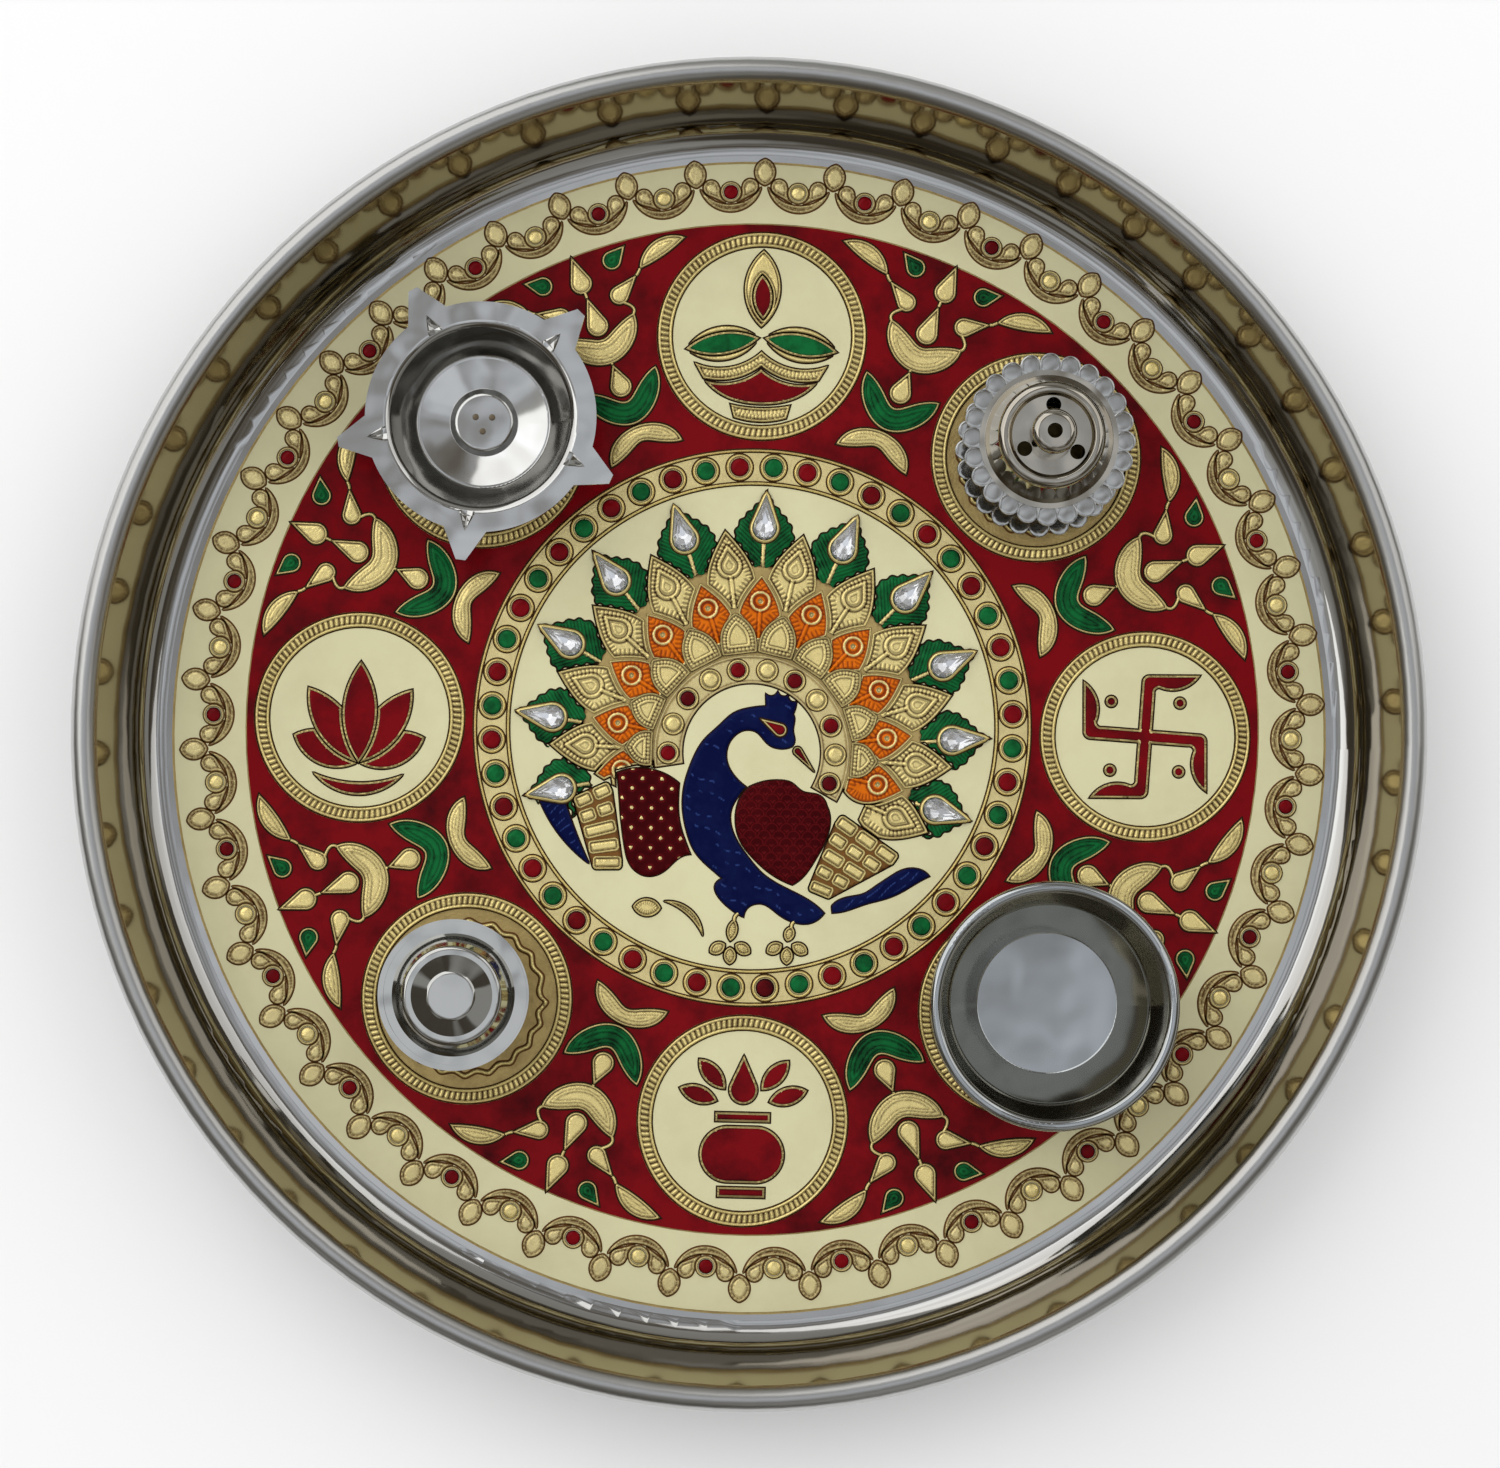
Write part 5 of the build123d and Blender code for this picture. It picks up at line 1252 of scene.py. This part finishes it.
# %% Creases in the spouts
flange_z = span("lamp_bowl")[1][2]
spout_count, first_spout = 5, 47.6
spout_step = 360 / spout_count
crease_rows = (
    # from the axis, half width, height of the fold, height of the bulge, height of the edge
    (21.80, 1.30, 0.00, 0.30, -0.12),
    (22.60, 1.25, 0.02, 0.28, -0.03),
    (22.95, 1.10, -0.32, 0.20, -0.02),
    (24.20, 0.75, -0.38, 0.14, -0.02),
    (25.40, 0.40, -0.30, 0.08, -0.02),
    (26.40, 0.06, -0.03, 0.01, -0.02),
)
fold_places = np.array([-1.4, -1.0, 0.0, 1.0, 1.4])
lip_drop = 0.5
creases = Sheet()
for turn_angle in np.radians(first_spout + spout_step * np.arange(spout_count)):
    along = np.array([np.cos(turn_angle), np.sin(turn_angle)])
    across = np.array([-along[1], along[0]])
    points = []
    for away, half_w, fold_z, bulge_z, edge_z in crease_rows:
        level = lamp_axis + along * away + np.outer(fold_places * half_w, across)
        heights = np.array([edge_z, bulge_z, fold_z, bulge_z, edge_z])
        points.append(np.column_stack([level, flange_z + heights]))
    lip = points[0][[0, -1]] - (0, 0, lip_drop)
    rows, columns = len(points), len(fold_places)
    corner = np.array([0, columns, columns + 1, 1])
    faces = [corner + columns * row + column for row in range(rows - 1) for column in range(columns - 1)]
    mouth = (*range(columns), rows * columns + 1, rows * columns)
    creases.add(np.vstack([*points, lip]), [*faces, mouth])
creases.build("lamp_creases", [steels["lamp_bowl"]], body="lamp", slot="polished_steel", smooth=False)

# %% [markdown]
# ## Camera and light
# The picture was taken from almost straight above with a long lens. A pale floor and a soft bright
# surrounding make the studio. Steel is only as good as what it mirrors, so reflected rays see a plain
# room: brown low down, bright overhead, uneven, with a few lit openings. Two large soft lamps help it.

# %% Floor
floor_half = 3
floor_corners = [(x * floor_half, y * floor_half, 0) for x, y in ((-1, -1), (1, -1), (1, 1), (-1, 1))]
floor_mesh = bpy.data.meshes.new("floor")
floor_mesh.from_pydata(floor_corners, [], [(0, 1, 2, 3)])
floor_mesh.materials.append(material("pale floor", (0.86, 0.86, 0.86), 0.7))
floor = bpy.data.objects.new("floor", floor_mesh)
scene.collection.objects.link(floor)
print("floor", 2 * floor_half, "m wide")


# %% The room that steel mirrors
def ramp(tree, source, *stops):
    """A colour ramp fed by a value: each stop is a place and a colour."""
    made = node(tree, "ShaderNodeValToRGB", source)
    steps = made.color_ramp.elements
    while len(steps) < len(stops):
        steps.new(0.5)
    for step, (place, colour) in zip(steps, stops):
        step.position = place
        step.color = (*colour, 1.0)
    return made.outputs["Color"]


world = bpy.data.worlds.new("studio")
scene.world = world
world.use_nodes = True
sky = world.node_tree
way = node(sky, "ShaderNodeTexCoord").outputs["Generated"]
uneven_room = spread(sky, noise(sky, way, in_Scale=6.0, in_Detail=2.0), 0.3, 0.7, -0.24, 0.08)
height = calc(sky, "ADD", node(sky, "ShaderNodeSeparateXYZ", way).outputs["Z"], uneven_room)
room_stops = (
    # height, colour
    (0.0, (0.09, 0.08, 0.065)),
    (0.45, (0.07, 0.058, 0.04)),
    (0.68, (0.13, 0.11, 0.08)),
    (0.82, (0.34, 0.33, 0.32)),
    (0.93, (0.68, 0.71, 0.76)),
    (1.0, (0.92, 0.95, 1.0)),
)
lit = spread(sky, noise(sky, way, in_Scale=1.7, in_Detail=0.0), 0.5, 0.6, 0.0, 0.6)
room_light = blend(sky, lit, ramp(sky, height, *room_stops), (0.62, 0.62, 0.60, 1))
glossy = node(sky, "ShaderNodeLightPath").outputs["Is Glossy Ray"]
background = sky.nodes["Background"].inputs
sky.links.new(blend(sky, glossy, (1, 1, 1, 1), room_light), background["Color"])
background["Strength"].default_value = 0.85
print("room", len(sky.nodes), "nodes")


# %% Soft lamps
def soft_lamp(name, place, target, size, power):
    """A square soft lamp that faces a point."""
    data = bpy.data.lights.new(name, "AREA")
    data.size = size
    data.energy = power
    lamp = bpy.data.objects.new(name, data)
    lamp.location = place
    lamp.rotation_euler = (Vector(target) - Vector(place)).to_track_quat("-Z", "Y").to_euler()
    scene.collection.objects.link(lamp)
    print(name, power, "W")


soft_lamp("window", (-1.3, 1.1, 1.5), (0, 0, 0), 2.5, 23)
soft_lamp("far wall", (1.2, 0.75, 1.3), (0, 0, 0), 1.4, 5)

# %% Camera
camera_back, camera_height = 36.5, 871.5
aim_left, aim_back, aim_height = 0.5, 1.65, 1.2
camera_data = bpy.data.cameras.new("camera")
camera_data.sensor_width = 36
camera_data.lens = 89.6
camera = bpy.data.objects.new("camera", camera_data)
stand_point = Vector(MM * np.array([*middle - (0, camera_back), camera_height]))
aim_point = Vector(MM * np.array([*middle - (aim_left, aim_back), aim_height]))
camera_roll = np.radians(0.6)
look = (aim_point - stand_point).to_track_quat("-Z", "Y").to_matrix()
look = look @ Matrix.Rotation(camera_roll, 3, "Z")
camera.matrix_world = Matrix.Translation(stand_point) @ look.to_4x4()
scene.collection.objects.link(camera)
scene.camera = camera
scene.view_settings.view_transform = "Standard"
print("camera", round(camera_data.lens, 1), "mm lens")
